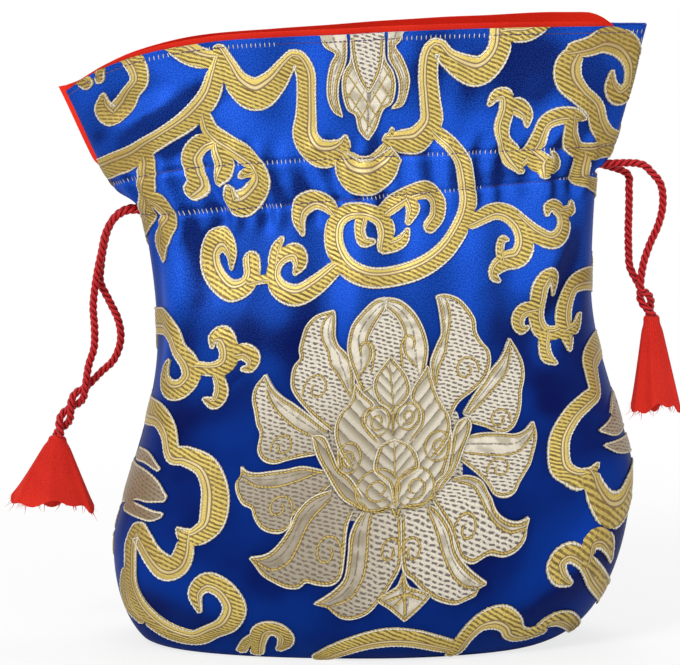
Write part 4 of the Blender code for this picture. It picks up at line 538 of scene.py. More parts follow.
@dataclass
class BagForm:
    """The form of the bag and the laying of flat cloth on it."""

    base_half_width: float = 0.0465
    base_half_depth: float = 0.0220
    levels: tuple[Level, ...] = (Level(0.044, 0.037, 0.006, 0.0657, 0.03, 9.0),
        Level(0.094, 0.084, 0.0065, 0.0545, 0.026, 7.5), Level(0.122, 0.1112, 0.0054, 0.0563,
        0.0165, 5.4), Level(0.133, 0.119, 0.0032, 0.0618, 0.0135, 3.5, 0.0025),
        Level(0.166, 0.147, 0.0019, 0.0722, 0.0065, 6.6, 0.0063))
    oval_power: float = 0.78
    arch_skew: float = 0.8
    cloth_half_width_mm: float = 72.0
    cloth_height_mm: float = 166.0
    gap: float = 0.0003
    flap_opening: float = 0.0012
    fold_mm: float = 1.7
    ratios: Array = field(default_factory=lambda: np.linspace(0.04, 0.7, 34))
    shares: Array = field(default_factory=lambda: np.linspace(0, 1, 161))
    angles: Array = field(init=False)

    def __post_init__(self) -> None:
        """Tabulates the angle round a quarter oval at each share of its length."""
        angle = np.linspace(0, math.pi / 2, 1601)
        rows = []
        for ratio in self.ratios:
            across = np.sin(angle)
            deep = ratio * np.cos(angle) ** self.oval_power
            length = np.concatenate([[0], np.cumsum(np.hypot(np.diff(across), np.diff(deep)))])
            rows.append(np.interp(self.shares, length / length[-1], angle))
        self.angles = np.array(rows)

    def between(self, cloth: Array, name: str) -> Array:
        """Smooth value of one size of the levels at a height, with no overshoot.

        Args:
            cloth: Heights up the cloth, from the first level to the last.
            name: Field of Level to read.

        Returns:
            One value for each height, by monotone cubics.
        """
        xs = np.array([level.cloth for level in self.levels])
        ys = np.array([getattr(level, name) for level in self.levels])
        step = np.diff(xs)
        slope = np.diff(ys) / step
        product = slope[:-1] * slope[1:]
        total = np.where(slope[:-1] + slope[1:] == 0, 1.0, slope[:-1] + slope[1:])
        tangent = np.zeros_like(ys)
        tangent[1:-1] = np.where(product > 0, 2 * product / total, 0.0)
        tangent[0] = slope[0]
        tangent[-1] = slope[-1]
        i = np.clip(np.searchsorted(xs, cloth) - 1, 0, len(step) - 1)
        t = (cloth - xs[i]) / step[i]
        return ((2 * t**3 - 3 * t**2 + 1) * ys[i] + (t**3 - 2 * t**2 + t) * step[i] * tangent[i]
                + (3 * t**2 - 2 * t**3) * ys[i + 1] + (t**3 - t**2) * step[i] * tangent[i + 1])

    def angle_at(self, share: Array, ratio: Array) -> Array:
        """Angle round the half oval of a cloth point, from its share of the half length."""
        i = (np.clip(ratio, self.ratios[0], self.ratios[-1]) - self.ratios[0]) / (self.ratios[1]
            - self.ratios[0])
        row = np.minimum(i.astype(int), len(self.ratios) - 2)
        j = np.clip(np.abs(share), 0, 1) * (len(self.shares) - 1)
        col = np.minimum(j.astype(int), len(self.shares) - 2)
        down = i - row
        along = j - col
        lower = self.angles[row, col] * (1 - along) + self.angles[row, col + 1] * along
        upper = self.angles[row + 1, col] * (1 - along) + self.angles[row + 1, col + 1] * along
        return np.sign(share) * (lower * (1 - down) + upper * down)

    def wrap(self, u: Array, v: Array, inset: Array | float, side: Side) -> Array:
        """Points of the flat cloth on the bag.

        Each height has a level oval: x goes as the sine of the angle, y as a power of its
        cosine, and the oval leans and arches towards the mouth. Below the belly the half
        sizes follow a quarter ellipse that starts level at the base.

        Args:
            u: Places across the panel in millimetres.
            v: Places up the panel in millimetres.
            inset: Depth inside the outer face in metres, less than 0 outside it.
            side: Panel that the points lie on.

        Returns:
            Points with a last axis of 3.
        """
        cloth = np.clip(np.asarray(v, float), 0, self.cloth_height_mm + 4) * MM
        belly = self.levels[0]
        turn = np.clip(cloth / belly.cloth, 0, 1) * math.pi / 2
        low = cloth <= belly.cloth
        high = np.maximum(cloth, belly.cloth)
        out = np.sin(turn)
        shift = np.where(low, belly.shift * out, self.between(high, "shift"))
        rise = np.where(low, belly.rise - (belly.rise - inset) * np.cos(turn),
            self.between(high, "rise"))
        half_width = np.where(low, self.base_half_width + (belly.half_width - self.base_half_width)
            * out, self.between(high, "half_width"))
        half_depth = np.where(low, self.base_half_depth + (belly.half_depth - self.base_half_depth)
            * out, self.between(high, "half_depth"))
        slope = np.radians(np.where(low, belly.slope * (1 - np.cos(turn)),
            self.between(high, "slope")))
        arch = np.where(low, 0.0, self.between(high, "arch"))
        angle = self.angle_at(np.asarray(u, float) / self.cloth_half_width_mm, half_depth
            / half_width)
        across = -side * np.sin(angle)
        deep = np.maximum(np.cos(angle), 0) ** self.oval_power
        top = self.levels[-1].cloth
        casing_top = self.levels[-2].cloth
        flap = np.clip((cloth - casing_top) / (top - casing_top), 0, 1)
        x = shift + (half_width - inset) * across * np.cos(slope)
        y = side * ((half_depth - inset) * deep + self.gap / 2 + self.flap_opening * flap)
        z = rise + (half_width - inset) * across * np.sin(slope) + arch * (1 - across ** 4) * (1
            - self.arch_skew * across)
        return np.stack([x, y, z], axis=-1)

    def folds(self, u: Array, v: Array) -> Array:
        """How far the cloth stands out of the plain form, in millimetres.

        Sums of sines under smooth windows: puckers between the casing seams, soft gathers
        below them, waves in the flap, slack in the belly, and a groove along each seam.

        Args:
            u: Places across the panel in millimetres.
            v: Places up the panel in millimetres.

        Returns:
            Offsets in millimetres, of the shape of u and v together.
        """
        def window(low: float, high: float, soft: float) -> Array:
            """1 between two heights, falling smoothly to 0 over soft mm outside them."""
            near = np.clip(np.minimum(v - low + soft, high + soft - v) / soft, 0, 1)
            return near * near * (3 - 2 * near)

        puckers = (0.26 * np.sin(0.93 * u + 0.6 * np.sin(0.21 * u)) + 0.2
            * np.sin(0.51 * u + 1.3 + 0.05 * v)) * window(122, 137, 5)
        gathers = (0.34 * np.sin(0.235 * u + 0.7 + 0.012 * v) + 0.26 * np.sin(0.37 * u - 1.1 - 0.02
            * v)) * window(96, 124, 22)
        flap = (0.45 * np.sin(0.14 * u + 0.05 * v + 0.8) + 0.22
            * np.sin(0.31 * u - 0.06 * v)) * window(141, 170, 7)
        belly = 0.40 * np.sin(0.085 * u + 0.07 * v) * window(12, 80, 18)
        ridges = 0
        for u0, v0, u1, v1, wide, weight in CREASES:
            share, away = along_line(u, v, u0, v0, u1, v1)
            arch = np.sin(np.pi * (0.08 + 0.84 * share))
            ridges = ridges + weight * (np.exp(-(away / wide) ** 2) * arch)
        seams = sum(-0.34 * np.exp(-((v - seam.height(u)) / 0.9) ** 2) for seam in CASING_SEAMS)
        rim = np.clip((self.cloth_half_width_mm - np.abs(u)) / 10, 0, 1)
        hem = np.clip(v / 12, 0, 1)
        return self.fold_mm * (puckers + gathers + flap + belly + ridges) * rim * hem + seams

    def painted_light(self, u: Array, v: Array) -> Array:
        """Painted light and shade of the satin at a place, from 0 to 1.

        It is 0.5 and a share of the fall of the folds towards the mouth and the left, so slopes
        that rise that way get a painted highlight and the others painted shade. Broad soft
        places of painted highlight and painted shade are added from a list.
        """
        step = 0.6
        across = (self.folds(u + step, v) - self.folds(u - step, v)) / (2 * step)
        up = (self.folds(u, v + step) - self.folds(u, v - step)) / (2 * step)
        shown = 0.5 + 1.5 * (0.8 * across - up)
        for u0, v0, u1, v1, half, weight in PAINTED_LIGHT_AND_SHADE:
            _, away = along_line(u, v, u0, v0, u1, v1)
            shown = shown + weight * np.exp(-(away / half)**2)
        return np.clip(shown, 0, 1)

    def place(self, u: Array, v: Array, lift_mm: Array | float, side: Side,
              over_mm: float = 0.0) -> Array:
        """Points that stand lift_mm above the folded cloth at (u, v), over_mm past the mouth."""
        u = np.clip(u, -self.cloth_half_width_mm, self.cloth_half_width_mm)
        v = np.clip(v, 0, self.cloth_height_mm + over_mm)
        u, v, lift = np.broadcast_arrays(u, v, lift_mm)
        points = self.wrap(u, v, -(self.folds(u, v) + lift) * MM, side)
        points[..., 2] = np.maximum(points[..., 2], 0.0)
        return points


@dataclass(frozen=True)
class SeamRow:
    """A row of machine stitches across a panel: its height at the left and right, in mm."""

    left: float
    right: float

    def height(self, u: Array) -> Array:
        """Height up the cloth of the row at places across it."""
        share = (np.asarray(u, float) + 72.0) / 144.0
        return self.left + (self.right - self.left) * share


CASING_SEAMS = (SeamRow(124.5, 125.5), SeamRow(133.5, 136.5))


@dataclass
class Relief:
    """Height of the weave above the satin, kept as a map over the flat cloth."""

    pitch_mm: float = 0.25
    half_width_mm: float = 76.0
    height_mm: float = 172.0
    map_mm: Array = field(init=False)

    def __post_init__(self) -> None:
        """Starts with bare satin."""
        rows = int(self.height_mm / self.pitch_mm) + 1
        cols = int(2 * self.half_width_mm / self.pitch_mm) + 1
        self.map_mm = np.zeros((rows, cols))

    def index(self, u: Array, v: Array) -> tuple[Array, Array]:
        """Row and column of the map nearest to flat points."""
        col = np.rint((np.asarray(u) + self.half_width_mm) / self.pitch_mm).astype(int)
        row = np.rint(np.asarray(v) / self.pitch_mm).astype(int)
        return (np.clip(row, 0, self.map_mm.shape[0] - 1), np.clip(col, 0, self.map_mm.shape[1]
            - 1))

    def raise_under(self, flat: Array, lift: Array) -> None:
        """Raises the map under a surface.

        Args:
            flat: Grid of flat points, rows by columns by 2.
            lift: Height above the satin of each, in millimetres.
        """
        def finer(values: Array, axis: int) -> Array:
            """Three more rows between each pair along an axis, in a straight line."""
            first = np.take(values, range(values.shape[axis] - 1), axis=axis)
            second = np.take(values, range(1, values.shape[axis]), axis=axis)
            steps = [first + (second - first) * k / 4 for k in range(4)]
            stacked = np.stack(steps, axis=axis + 1)
            shape = list(values.shape)
            shape[axis] = (shape[axis] - 1) * 4
            return stacked.reshape(shape)

        grid = np.concatenate([flat, lift[..., None]], axis=2)
        grid = finer(finer(grid, 0), 1)
        row, col = self.index(grid[..., 0], grid[..., 1])
        np.maximum.at(self.map_mm, (row, col), grid[..., 2])

    def over(self, points: Array) -> Array:
        """Smoothed height of the weave under a line of flat points."""
        row, col = self.index(points[:, 0], points[:, 1])
        around = [self.map_mm[np.clip(row + i, 0, self.map_mm.shape[0] - 1),
            np.clip(col + j, 0, self.map_mm.shape[1] - 1)] for i in (-1, 0, 1) for j in (-1, 0, 1)]
        height = np.max(around, axis=0)
        padded = np.pad(height, 2, mode="edge")
        return np.convolve(padded, np.ones(5) / 5, mode="valid")


@dataclass
class MeshBlocks:
    """Closed tubes and shells gathered into one mesh, as blocks of vertices and quads."""

    name: str
    points: list[Array] = field(default_factory=list)
    quads: list[Array] = field(default_factory=list)
    cloth: list[Array] = field(default_factory=list)
    across: list[Array] = field(default_factory=list)
    along: list[Array] = field(default_factory=list)
    tone: list[Array] = field(default_factory=list)
    total: int = 0

    def add_loops(self, loops: Array, cloth: Array, across: Array | float = 0.0,
                   along: Array | float = 0.0, tone: Array | float = 0.0) -> None:
        """Adds a closed tube made of loops along a path.

        Neighbouring loops are joined by quads. Each end is closed by quads from one half
        of its loop to the other, and the whole turns outwards by the sign of its volume.

        Args:
            loops: Steps by an even count of loop points by 3, in metres.
            cloth: Steps by points by 2, the flat place in millimetres.
            across: Place across the strip, -1 to 1, of the shape of the loops.
            along: Way along the strip in millimetres, of the shape of the loops.
            tone: One more number for the finish, of the shape of the loops.
        """
        steps, count = loops.shape[:2]
        ids = self.total + np.arange(steps * count).reshape(steps, count)
        turned = np.roll(ids, -1, axis=1)
        walls = np.stack([ids[:-1], turned[:-1], turned[1:], ids[1:]], axis=-1).reshape(-1, 4)
        k = np.arange(count // 2 - 1)
        first = np.stack([ids[0, k], ids[0, count - 1 - k], ids[0, count - 2 - k], ids[0, k + 1]],
            axis=-1)
        last = np.stack([ids[-1, k], ids[-1, k + 1], ids[-1, count - 2 - k],
            ids[-1, count - 1 - k]], axis=-1)
        quads = np.vstack([walls, first, last])
        flat = loops.reshape(-1, 3)
        corner = flat[quads - self.total] - flat.mean(axis=0)
        volume = np.einsum("ij,ij->i", corner[:, 0], np.cross(corner[:, 1], corner[:,
            2])).sum() + np.einsum("ij,ij->i", corner[:, 0], np.cross(corner[:, 2], corner[:,
            3])).sum()
        self.quads.append(quads if volume > 0 else quads[:, ::-1])
        self.points.append(flat)
        self.cloth.append(cloth.reshape(-1, 2))
        self.across.append(np.broadcast_to(across, (steps, count)).ravel())
        self.along.append(np.broadcast_to(along, (steps, count)).ravel())
        self.tone.append(np.broadcast_to(tone, (steps, count)).ravel())
        self.total += steps * count

    def make(self, body: str = "root") -> Piece:
        """The mesh object, with its cloth UV map and attributes, riding on a body.

        Args:
            body: CAD body that the piece moves with.

        Returns:
            The new object at the origin.
        """
        points = np.vstack(self.points)
        quads = np.vstack(self.quads)
        mesh = bpy.data.meshes.new(self.name)
        mesh.vertices.add(len(points))
        mesh.vertices.foreach_set("co", points.astype(np.float32).ravel())
        mesh.loops.add(quads.size)
        mesh.loops.foreach_set("vertex_index", quads.astype(np.int32).ravel())
        mesh.polygons.add(len(quads))
        mesh.polygons.foreach_set("loop_start", np.arange(0, quads.size, 4, dtype=np.int32))
        mesh.polygons.foreach_set("use_smooth", np.ones(len(quads), bool))
        mesh.update(calc_edges=True)
        mesh.validate()
        flat = np.vstack(self.cloth)
        uv = np.column_stack([flat[:, 0] / CLOTH_UV_MM + 0.5, flat[:, 1] / CLOTH_UV_MM])
        corners = np.empty(len(mesh.loops), np.int32)
        mesh.loops.foreach_get("vertex_index", corners)
        layer = mesh.uv_layers.new(name="cloth")
        layer.data.foreach_set("uv", uv[corners].astype(np.float32).ravel())
        for name, blocks in (("across", self.across), ("along", self.along),
                             ("tone", self.tone)):
            attribute = mesh.attributes.new(name, "FLOAT", "POINT")
            attribute.data.foreach_set("value", np.concatenate(blocks).astype(np.float32))
        mesh.set_sharp_from_angle(angle=math.radians(55))
        made = bpy.data.objects.new(self.name, mesh)
        bpy.context.scene.collection.objects.link(made)
        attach(made, body)
        LOG.info("%s: %d points, %d quads", self.name, len(points), len(quads))
        return made


def linear(red: float, green: float, blue: float) -> tuple[float, float, float, float]:
    """Scene-linear colour of an 8-bit screen colour."""
    parts = [c / 255 / 12.92 if c / 255 <= 0.04045 else ((c / 255 + 0.055)
        / 1.055) ** 2.4 for c in (red, green, blue)]
    return (*parts, 1.0)


def joined(operation: str, turned: bool = False) -> Callable[["Term", object], "Term"]:
    """Operator of a term that makes a Math node, with its two sides turned if asked."""
    def method(term: "Term", other: object = 0.0) -> "Term":
        """The Math node's result."""
        return term.wires.math(operation, *((other, term) if turned else (term, other)))
    return method


@dataclass
class Term:
    """A socket of a tree that can be added, multiplied and so on."""

    wires: "Wires"
    socket: bpy.types.NodeSocket
    __add__, __radd__ = joined("ADD"), joined("ADD", True)
    __sub__, __rsub__ = joined("SUBTRACT"), joined("SUBTRACT", True)
    __mul__, __rmul__ = joined("MULTIPLY"), joined("MULTIPLY", True)
    __truediv__, __abs__ = joined("DIVIDE"), joined("ABSOLUTE")


class Wires:
    """Short words for building a node tree."""

    def __init__(self, tree: Tree) -> None:
        """Takes the tree to build in."""
        self.tree = tree

    def node(self, kind: str, **settings: object) -> Node:
        """A new node with its settings."""
        made = self.tree.nodes.new(kind)
        for name, value in settings.items():
            setattr(made, name, value)
        return made

    def feed(self, socket: bpy.types.NodeSocket, value: object) -> None:
        """Links a socket or sets a plain value on it."""
        if isinstance(value, Term):
            value = value.socket
        if isinstance(value, bpy.types.NodeSocket):
            self.tree.links.new(value, socket)
        else:
            socket.default_value = value

    def filled(self, kind: str, values: dict, **settings: object) -> Node:
        """A new node with its settings and some inputs fed, by name or number."""
        made = self.node(kind, **settings)
        for socket, value in values.items():
            self.feed(made.inputs[socket], value)
        return made

    def attribute(self, name: str) -> Term:
        """A mesh attribute's number."""
        return Term(self, self.node("ShaderNodeAttribute", attribute_name=name).outputs["Fac"])

    def math(self, operation: str, a: object, b: object = 0.0) -> Term:
        """A Math node's result."""
        made = self.filled("ShaderNodeMath", {0: a, 1: b, 2: 0.0}, operation=operation)
        return Term(self, made.outputs[0])

    def smooth(self, value: object, low: float, high: float) -> Term:
        """0 below low, 1 above high and a smooth step between, or the other way round."""
        flip = float(low > high)
        made = self.filled("ShaderNodeMapRange", {"Value": value, "From Min": min(low, high),
            "From Max": max(low, high), "To Min": flip, "To Max": 1.0 - flip},
            interpolation_type="SMOOTHSTEP")
        return Term(self, made.outputs["Result"])

    def mix(self, share: object, first: object, second: object) -> Term:
        """Two colours mixed by a share."""
        made = self.filled("ShaderNodeMix", {0: share, 6: first, 7: second}, data_type="RGBA")
        return Term(self, made.outputs[2])

    def band(self, value: object, centre: float, half: float, soft: float) -> Term:
        """1 near a centre value, falling to 0 over soft."""
        return self.smooth(abs(self.math("SUBTRACT", value, centre)), half + soft, half)

    def noise(self, place: object, scale: float, detail: float = 2.0) -> Term:
        """Even noise at a scale, from 0 to 1."""
        values = {"Vector": place, "Scale": scale, "Detail": detail}
        return Term(self, self.filled("ShaderNodeTexNoise", values).outputs["Fac"])


def new_group(name: str, ins: dict[str, tuple[str, object]],
              outs: dict[str, str]) -> tuple[Wires, dict, dict]:
    """An empty node group with named sockets.

    Args:
        name: Name of the group.
        ins: Input name to its socket type and value.
        outs: Output name to its socket type.

    Returns:
        The wires of the group, its input sockets and its output sockets, by name.
    """
    tree = bpy.data.node_groups.new(name, "ShaderNodeTree")
    for title, (kind, value) in ins.items():
        socket = tree.interface.new_socket(title, in_out="INPUT", socket_type=kind)
        if value is not None:
            socket.default_value = value
    for title, kind in outs.items():
        tree.interface.new_socket(title, in_out="OUTPUT", socket_type=kind)
    wires = Wires(tree)
    start = wires.node("NodeGroupInput")
    end = wires.node("NodeGroupOutput")
    return (wires, {s.name: Term(wires, s) for s in start.outputs},
        {s.name: s for s in end.inputs})


FLOAT = "NodeSocketFloat"
VECTOR = "NodeSocketVector"


def cloth_place_group() -> Tree:
    """Group that gives the flat cloth place in millimetres, from the cloth UV map."""
    wires, _, outs = new_group("cloth place", {}, {"Place": VECTOR, "U": FLOAT, "V": FLOAT})
    uv = wires.node("ShaderNodeUVMap", uv_map="cloth")
    mapping = wires.node("ShaderNodeMapping")
    wires.feed(mapping.inputs["Vector"], uv.outputs[0])
    mapping.inputs["Location"].default_value = (-CLOTH_UV_MM / 2, 0, 0)
    mapping.inputs["Scale"].default_value = (CLOTH_UV_MM, CLOTH_UV_MM, 1)
    parts = wires.node("ShaderNodeSeparateXYZ")
    wires.feed(parts.inputs[0], mapping.outputs[0])
    wires.feed(outs["Place"], mapping.outputs[0])
    wires.feed(outs["U"], parts.outputs[0])
    wires.feed(outs["V"], parts.outputs[1])
    return wires.tree


def thread_lines_group() -> Tree:
    """Group that gives slanted weft lines and the dashes along them.

    Lines lie where u sin(slant) + v cos(slant) is a whole number of pitches. Dashes break
    each line, set on by a share of their length from one line to the next.
    """
    wires, ins, outs = new_group("thread lines", {"U": (FLOAT, 0.0), "V": (FLOAT, 0.0),
        "Slant": (FLOAT, 0.28), "Pitch": (FLOAT, 1.08), "Dash": (FLOAT, 2.2),
        "Waver": (FLOAT, 0.0)}, {"Line": FLOAT, "Dash Mask": FLOAT})
    sine = wires.math("SINE", ins["Slant"])
    cosine = wires.math("COSINE", ins["Slant"])
    rise = ins["U"] * sine + ins["V"] * cosine
    run = ins["U"] * cosine - ins["V"] * sine
    row = rise / ins["Pitch"] + ins["Waver"]
    number = wires.math("FLOOR", row)
    phase = wires.math("FRACT", row)
    wires.feed(outs["Line"], wires.band(phase, 0.5, 0.13, 0.2))
    moved = run / ins["Dash"] + number * 0.37
    dash = wires.band(wires.math("FRACT", moved), 0.5, 0.28, 0.08)
    wires.feed(outs["Dash Mask"], dash * wires.band(phase, 0.5, 0.17, 0.13))
    return wires.tree


def grain_group() -> Tree:
    """Group that gives the fine grain of woven threads and a slow tone over the cloth."""
    wires, ins, outs = new_group("cloth grain", {"Place": (VECTOR, None), "Pitch": (FLOAT, 0.45),
        "Twill": (FLOAT, 0.6)}, {"Grain": FLOAT, "Tone": FLOAT})
    parts = wires.node("ShaderNodeSeparateXYZ")
    wires.feed(parts.inputs[0], ins["Place"])
    slanted = parts.outputs[0] + parts.outputs[1] * ins["Twill"]
    fine = wires.noise(ins["Place"], 2.6, 3.0)
    wave = wires.math("SINE", slanted / ins["Pitch"] * math.tau)
    wires.feed(outs["Grain"], wave * 0.18 + fine * 0.9)
    wires.feed(outs["Tone"], wires.noise(ins["Place"], 0.045, 2.0))
    return wires.tree


@dataclass
class Groups:
    """The shared effects, built once."""

    place: Tree = field(default_factory=cloth_place_group)
    lines: Tree = field(default_factory=thread_lines_group)
    grain: Tree = field(default_factory=grain_group)

    def use(self, wires: Wires, tree: Tree,
            **values: object) -> dict[str, Term]:
        """Places a group in a material with its values.

        Args:
            wires: Wires of the material.
            tree: Group to place.
            values: Input name to its value or socket.

        Returns:
            Its outputs by name.
        """
        made = wires.filled("ShaderNodeGroup", values, node_tree=tree)
        return {socket.name: Term(wires, socket) for socket in made.outputs}


@dataclass(frozen=True)
class Gloss:
    """The plain numbers of a shader, the same all over a finish."""

    roughness: float
    metallic: float = 0.0
    sheen: float = 0.0
    specular: float = 0.5


def shade(name: str, gloss: Gloss) -> tuple[Material, Wires, Node]:
    """A new material with its Principled shader set.

    Args:
        name: Name of the finish.
        gloss: Plain numbers of the shader.

    Returns:
        The material, its wires and its shader.
    """
    made = bpy.data.materials.new(name)
    made.use_nodes = True
    wires = Wires(made.node_tree)
    shader = made.node_tree.nodes["Principled BSDF"]
    sockets = ("Roughness", "Metallic", "Sheen Weight", "Specular IOR Level")
    for socket, value in zip(sockets, astuple(gloss)):
        shader.inputs[socket].default_value = value
    return made, wires, shader


def bumped(wires: Wires, shader: Node, height: bpy.types.NodeSocket, strength: float,
           distance: float) -> None:
    """Feeds a height to the shader's normal through a Bump node."""
    bump = wires.filled("ShaderNodeBump", {"Strength": strength, "Distance": distance,
        "Height": height})
    wires.feed(shader.inputs["Normal"], bump.outputs[0])


@dataclass(frozen=True)
class SatinFinish:
    """Blue satin ground with a fine grain and painted light and shade: brighter on the slopes
    that catch the light and in listed places, darker towards the bottom and the sides.
    """

    gloss: Gloss = Gloss(roughness=0.48, metallic=0.25, specular=0.07)

    def make(self, groups: Groups) -> Material:
        """Builds the material."""
        made, wires, shader = shade("blue satin", self.gloss)
        place = groups.use(wires, groups.place)
        grain = groups.use(wires, groups.grain, Place=place["Place"], Pitch=0.42)
        painted_light = wires.attribute("tone")
        slow = (grain["Tone"] - 0.5) * 0.7
        height = wires.smooth(place["V"], 60.0, 128.0)
        # Painted light and shade: the level is the painted light of the folds, a slow random tone
        # and a rise towards the mouth; it mixes the satin from dark to bright blue.
        level = painted_light + slow + (height - 0.55) * 0.34
        dark = wires.mix(wires.smooth(level, 0.10, 0.50), linear(0, 14, 80), linear(0, 46, 134))
        blue = wires.mix(wires.smooth(level, 0.46, 0.98), dark, linear(7, 65, 182))
        flecks = wires.smooth(wires.noise(place["Place"], 3.1), 0.38, 0.64)
        seen = flecks * wires.smooth(place["V"], 66.0, 112.0)
        # Bright flecks of the grain, stronger where the painted light is higher.
        specked = wires.mix(seen * (0.12 + level * 0.6), blue, linear(44, 106, 228))
        low = wires.smooth(place["V"], 34.0, 4.0)
        sides = wires.smooth(abs(place["U"]), 54.0, 72.0)
        shadow = wires.math("MAXIMUM", low * 0.7, sides * 0.3)
        wires.feed(shader.inputs["Base Color"], wires.mix(shadow, specked, linear(4, 44, 122)))
        bumped(wires, shader, grain["Grain"], 0.3, 0.00014)
        return made


@dataclass(frozen=True)
class GoldWeaveFinish:
    """Gold weft: slanted hatching outside the spine lines and plain gold inside them."""

    gloss: Gloss = Gloss(roughness=0.38, metallic=0.35, specular=0.4)

    def make(self, groups: Groups) -> Material:
        """Builds the material."""
        made, wires, shader = shade("gold weave", self.gloss)
        place = groups.use(wires, groups.place)
        grain = groups.use(wires, groups.grain, Place=place["Place"], Pitch=0.36)
        waver = wires.noise(place["Place"], 0.3) * 0.9
        lines = groups.use(wires, groups.lines, U=place["U"], V=place["V"], Slant=0.46, Pitch=1.0,
            Dash=1.6, Waver=waver)
        across = wires.attribute("across")
        hatched = wires.smooth(across, 0.26, 0.14)
        weight = wires.smooth(wires.noise(place["Place"], 0.22), 0.25, 0.75)
        thin = wires.smooth(lines["Line"], 0.3, 0.85)
        cut = wires.math("MAXIMUM", thin * (0.35 + weight * 0.6), lines["Dash Mask"] * 0.8)
        hatch = cut * hatched
        ground = wires.mix(wires.smooth(grain["Grain"], 0.2, 0.8), linear(202, 170, 72),
            linear(254, 234, 142))
        hatch_deep = wires.mix(hatch, ground, linear(88, 66, 20))
        spine = wires.math("MAXIMUM", wires.band(across, 0.22, 0.035, 0.05),
            wires.band(across, 0.52, 0.03, 0.05))
        between = wires.band(across, 0.37, 0.07, 0.06)
        lined = wires.mix(spine * 0.85, hatch_deep, linear(112, 92, 84))
        pale = wires.mix(between * 0.65, lined, linear(236, 216, 168))
        # Painted shade: brown towards the sides of the panel, where the cloth turns away, with a
        # slow random tone mixed in.
        away = wires.smooth(abs(place["U"]), 44.0, 64.0)
        slow = wires.smooth(grain["Tone"], 0.42, 0.62)
        painted_side_shade_and_tone = away * 0.42 + slow * 0.22
        wires.feed(shader.inputs["Base Color"], wires.mix(painted_side_shade_and_tone, pale, linear(128, 98, 36)))
        height = grain["Grain"] * 0.5 - (hatch + spine)
        bumped(wires, shader, height, 0.6, 0.00024)
        return made


def silver_with_painted_shade(wires: Wires, place: dict, colour: object) -> Term:
    """Silver with painted shade: duller towards the lower left and browner at the sides."""
    left = wires.smooth(place["U"], 16.0, -14.0)
    low = wires.smooth(place["V"], 88.0, 50.0)
    wear_or_painted_shade = left * low * 0.66
    silver_dimmed_by_painted_shade = wires.mix(wear_or_painted_shade, colour, linear(124, 108, 84))
    side = wires.smooth(abs(place["U"]), 44.0, 58.0)
    return wires.mix(side * 0.68, silver_dimmed_by_painted_shade, linear(122, 92, 50))


@dataclass(frozen=True)
class SilverWeaveFinish:
    """Silver weft of the flowers: dashed, plain with a soft mid line, or quilted in ribs."""

    weave: Weave
    gloss: Gloss = Gloss(roughness=0.40, metallic=0.2, specular=0.45)

    def dashes(self, groups: Groups, wires: Wires, place: dict[str, Term]) -> Term:
        """Broken weft lines, longer and shorter by a slow noise."""
        spread = wires.noise(place["Place"], 0.45) * 2.2
        waver = wires.noise(place["Place"], 0.25) * 1.0
        along = place["U"] + spread
        lines = groups.use(wires, groups.lines, U=along, V=place["V"], Slant=0.4, Pitch=0.98,
            Dash=1.75, Waver=waver)
        return wires.math("MAXIMUM", lines["Dash Mask"] * 0.95, lines["Line"] * 0.24)

    def ribs(self, wires: Wires, place: dict[str, Term]) -> tuple[Term, Term]:
        """Grooves of the V ribs and the shade that deepens from one groove to the next.

        A rib's place is the height less a share of the way from the middle of the lotus,
        over the height between ribs, which the tone attribute gives.
        """
        pitch = wires.math("MAXIMUM", wires.attribute("tone"), 1.0)
        aside = abs(place["U"] - RIB_AXIS_MM)
        rise = place["V"] - aside * RIB_SLOPE
        phase = wires.math("FRACT", rise / pitch)
        broken = wires.smooth(wires.noise(place["Place"], 1.1), 0.34, 0.52)
        groove = wires.band(phase, 0.0, 0.035, 0.05) * broken
        return groove, wires.smooth(phase, 0.25, 0.98)

    def make(self, groups: Groups) -> Material:
        """Builds the material."""
        made, wires, shader = shade(self.weave.value.replace("_", " "), self.gloss)
        place = groups.use(wires, groups.place)
        grain = groups.use(wires, groups.grain, Place=place["Place"], Pitch=0.34)
        across = wires.attribute("across")
        pale = wires.mix(wires.smooth(grain["Grain"], 0.2, 0.8), linear(212, 202, 180),
            linear(248, 242, 226))
        if self.weave is Weave.HATCHED_SILVER:
            dark = self.dashes(groups, wires, place)
            toned = wires.mix(dark, pale, linear(104, 94, 92))
        elif self.weave is Weave.RIBBED_SILVER:
            dark, shadow = self.ribs(wires, place)
            soft = wires.mix(shadow * 0.82, pale, linear(132, 120, 92))
            toned = wires.mix(dark, soft, linear(92, 82, 74))
        else:
            # Painted shade: soft darker patches placed by noise, like the shade of small folds.
            fold = wires.noise(place["Place"], 0.33, 1.0)
            middle = wires.band(across, 0.0, 0.05, 0.08) * wires.smooth(wires.noise(place["Place"],
                1.3), 0.36, 0.52)
            soft = wires.mix(wires.smooth(fold, 0.4, 0.66) * 0.62, pale, linear(152, 140, 112))
            dark = middle * 0.8
            toned = wires.mix(dark, soft, linear(104, 92, 80))
        wires.feed(shader.inputs["Base Color"], silver_with_painted_shade(wires, place, toned))
        height = grain["Grain"] * 0.4 - dark
        bumped(wires, shader, height, 0.5, 0.00022)
        return made


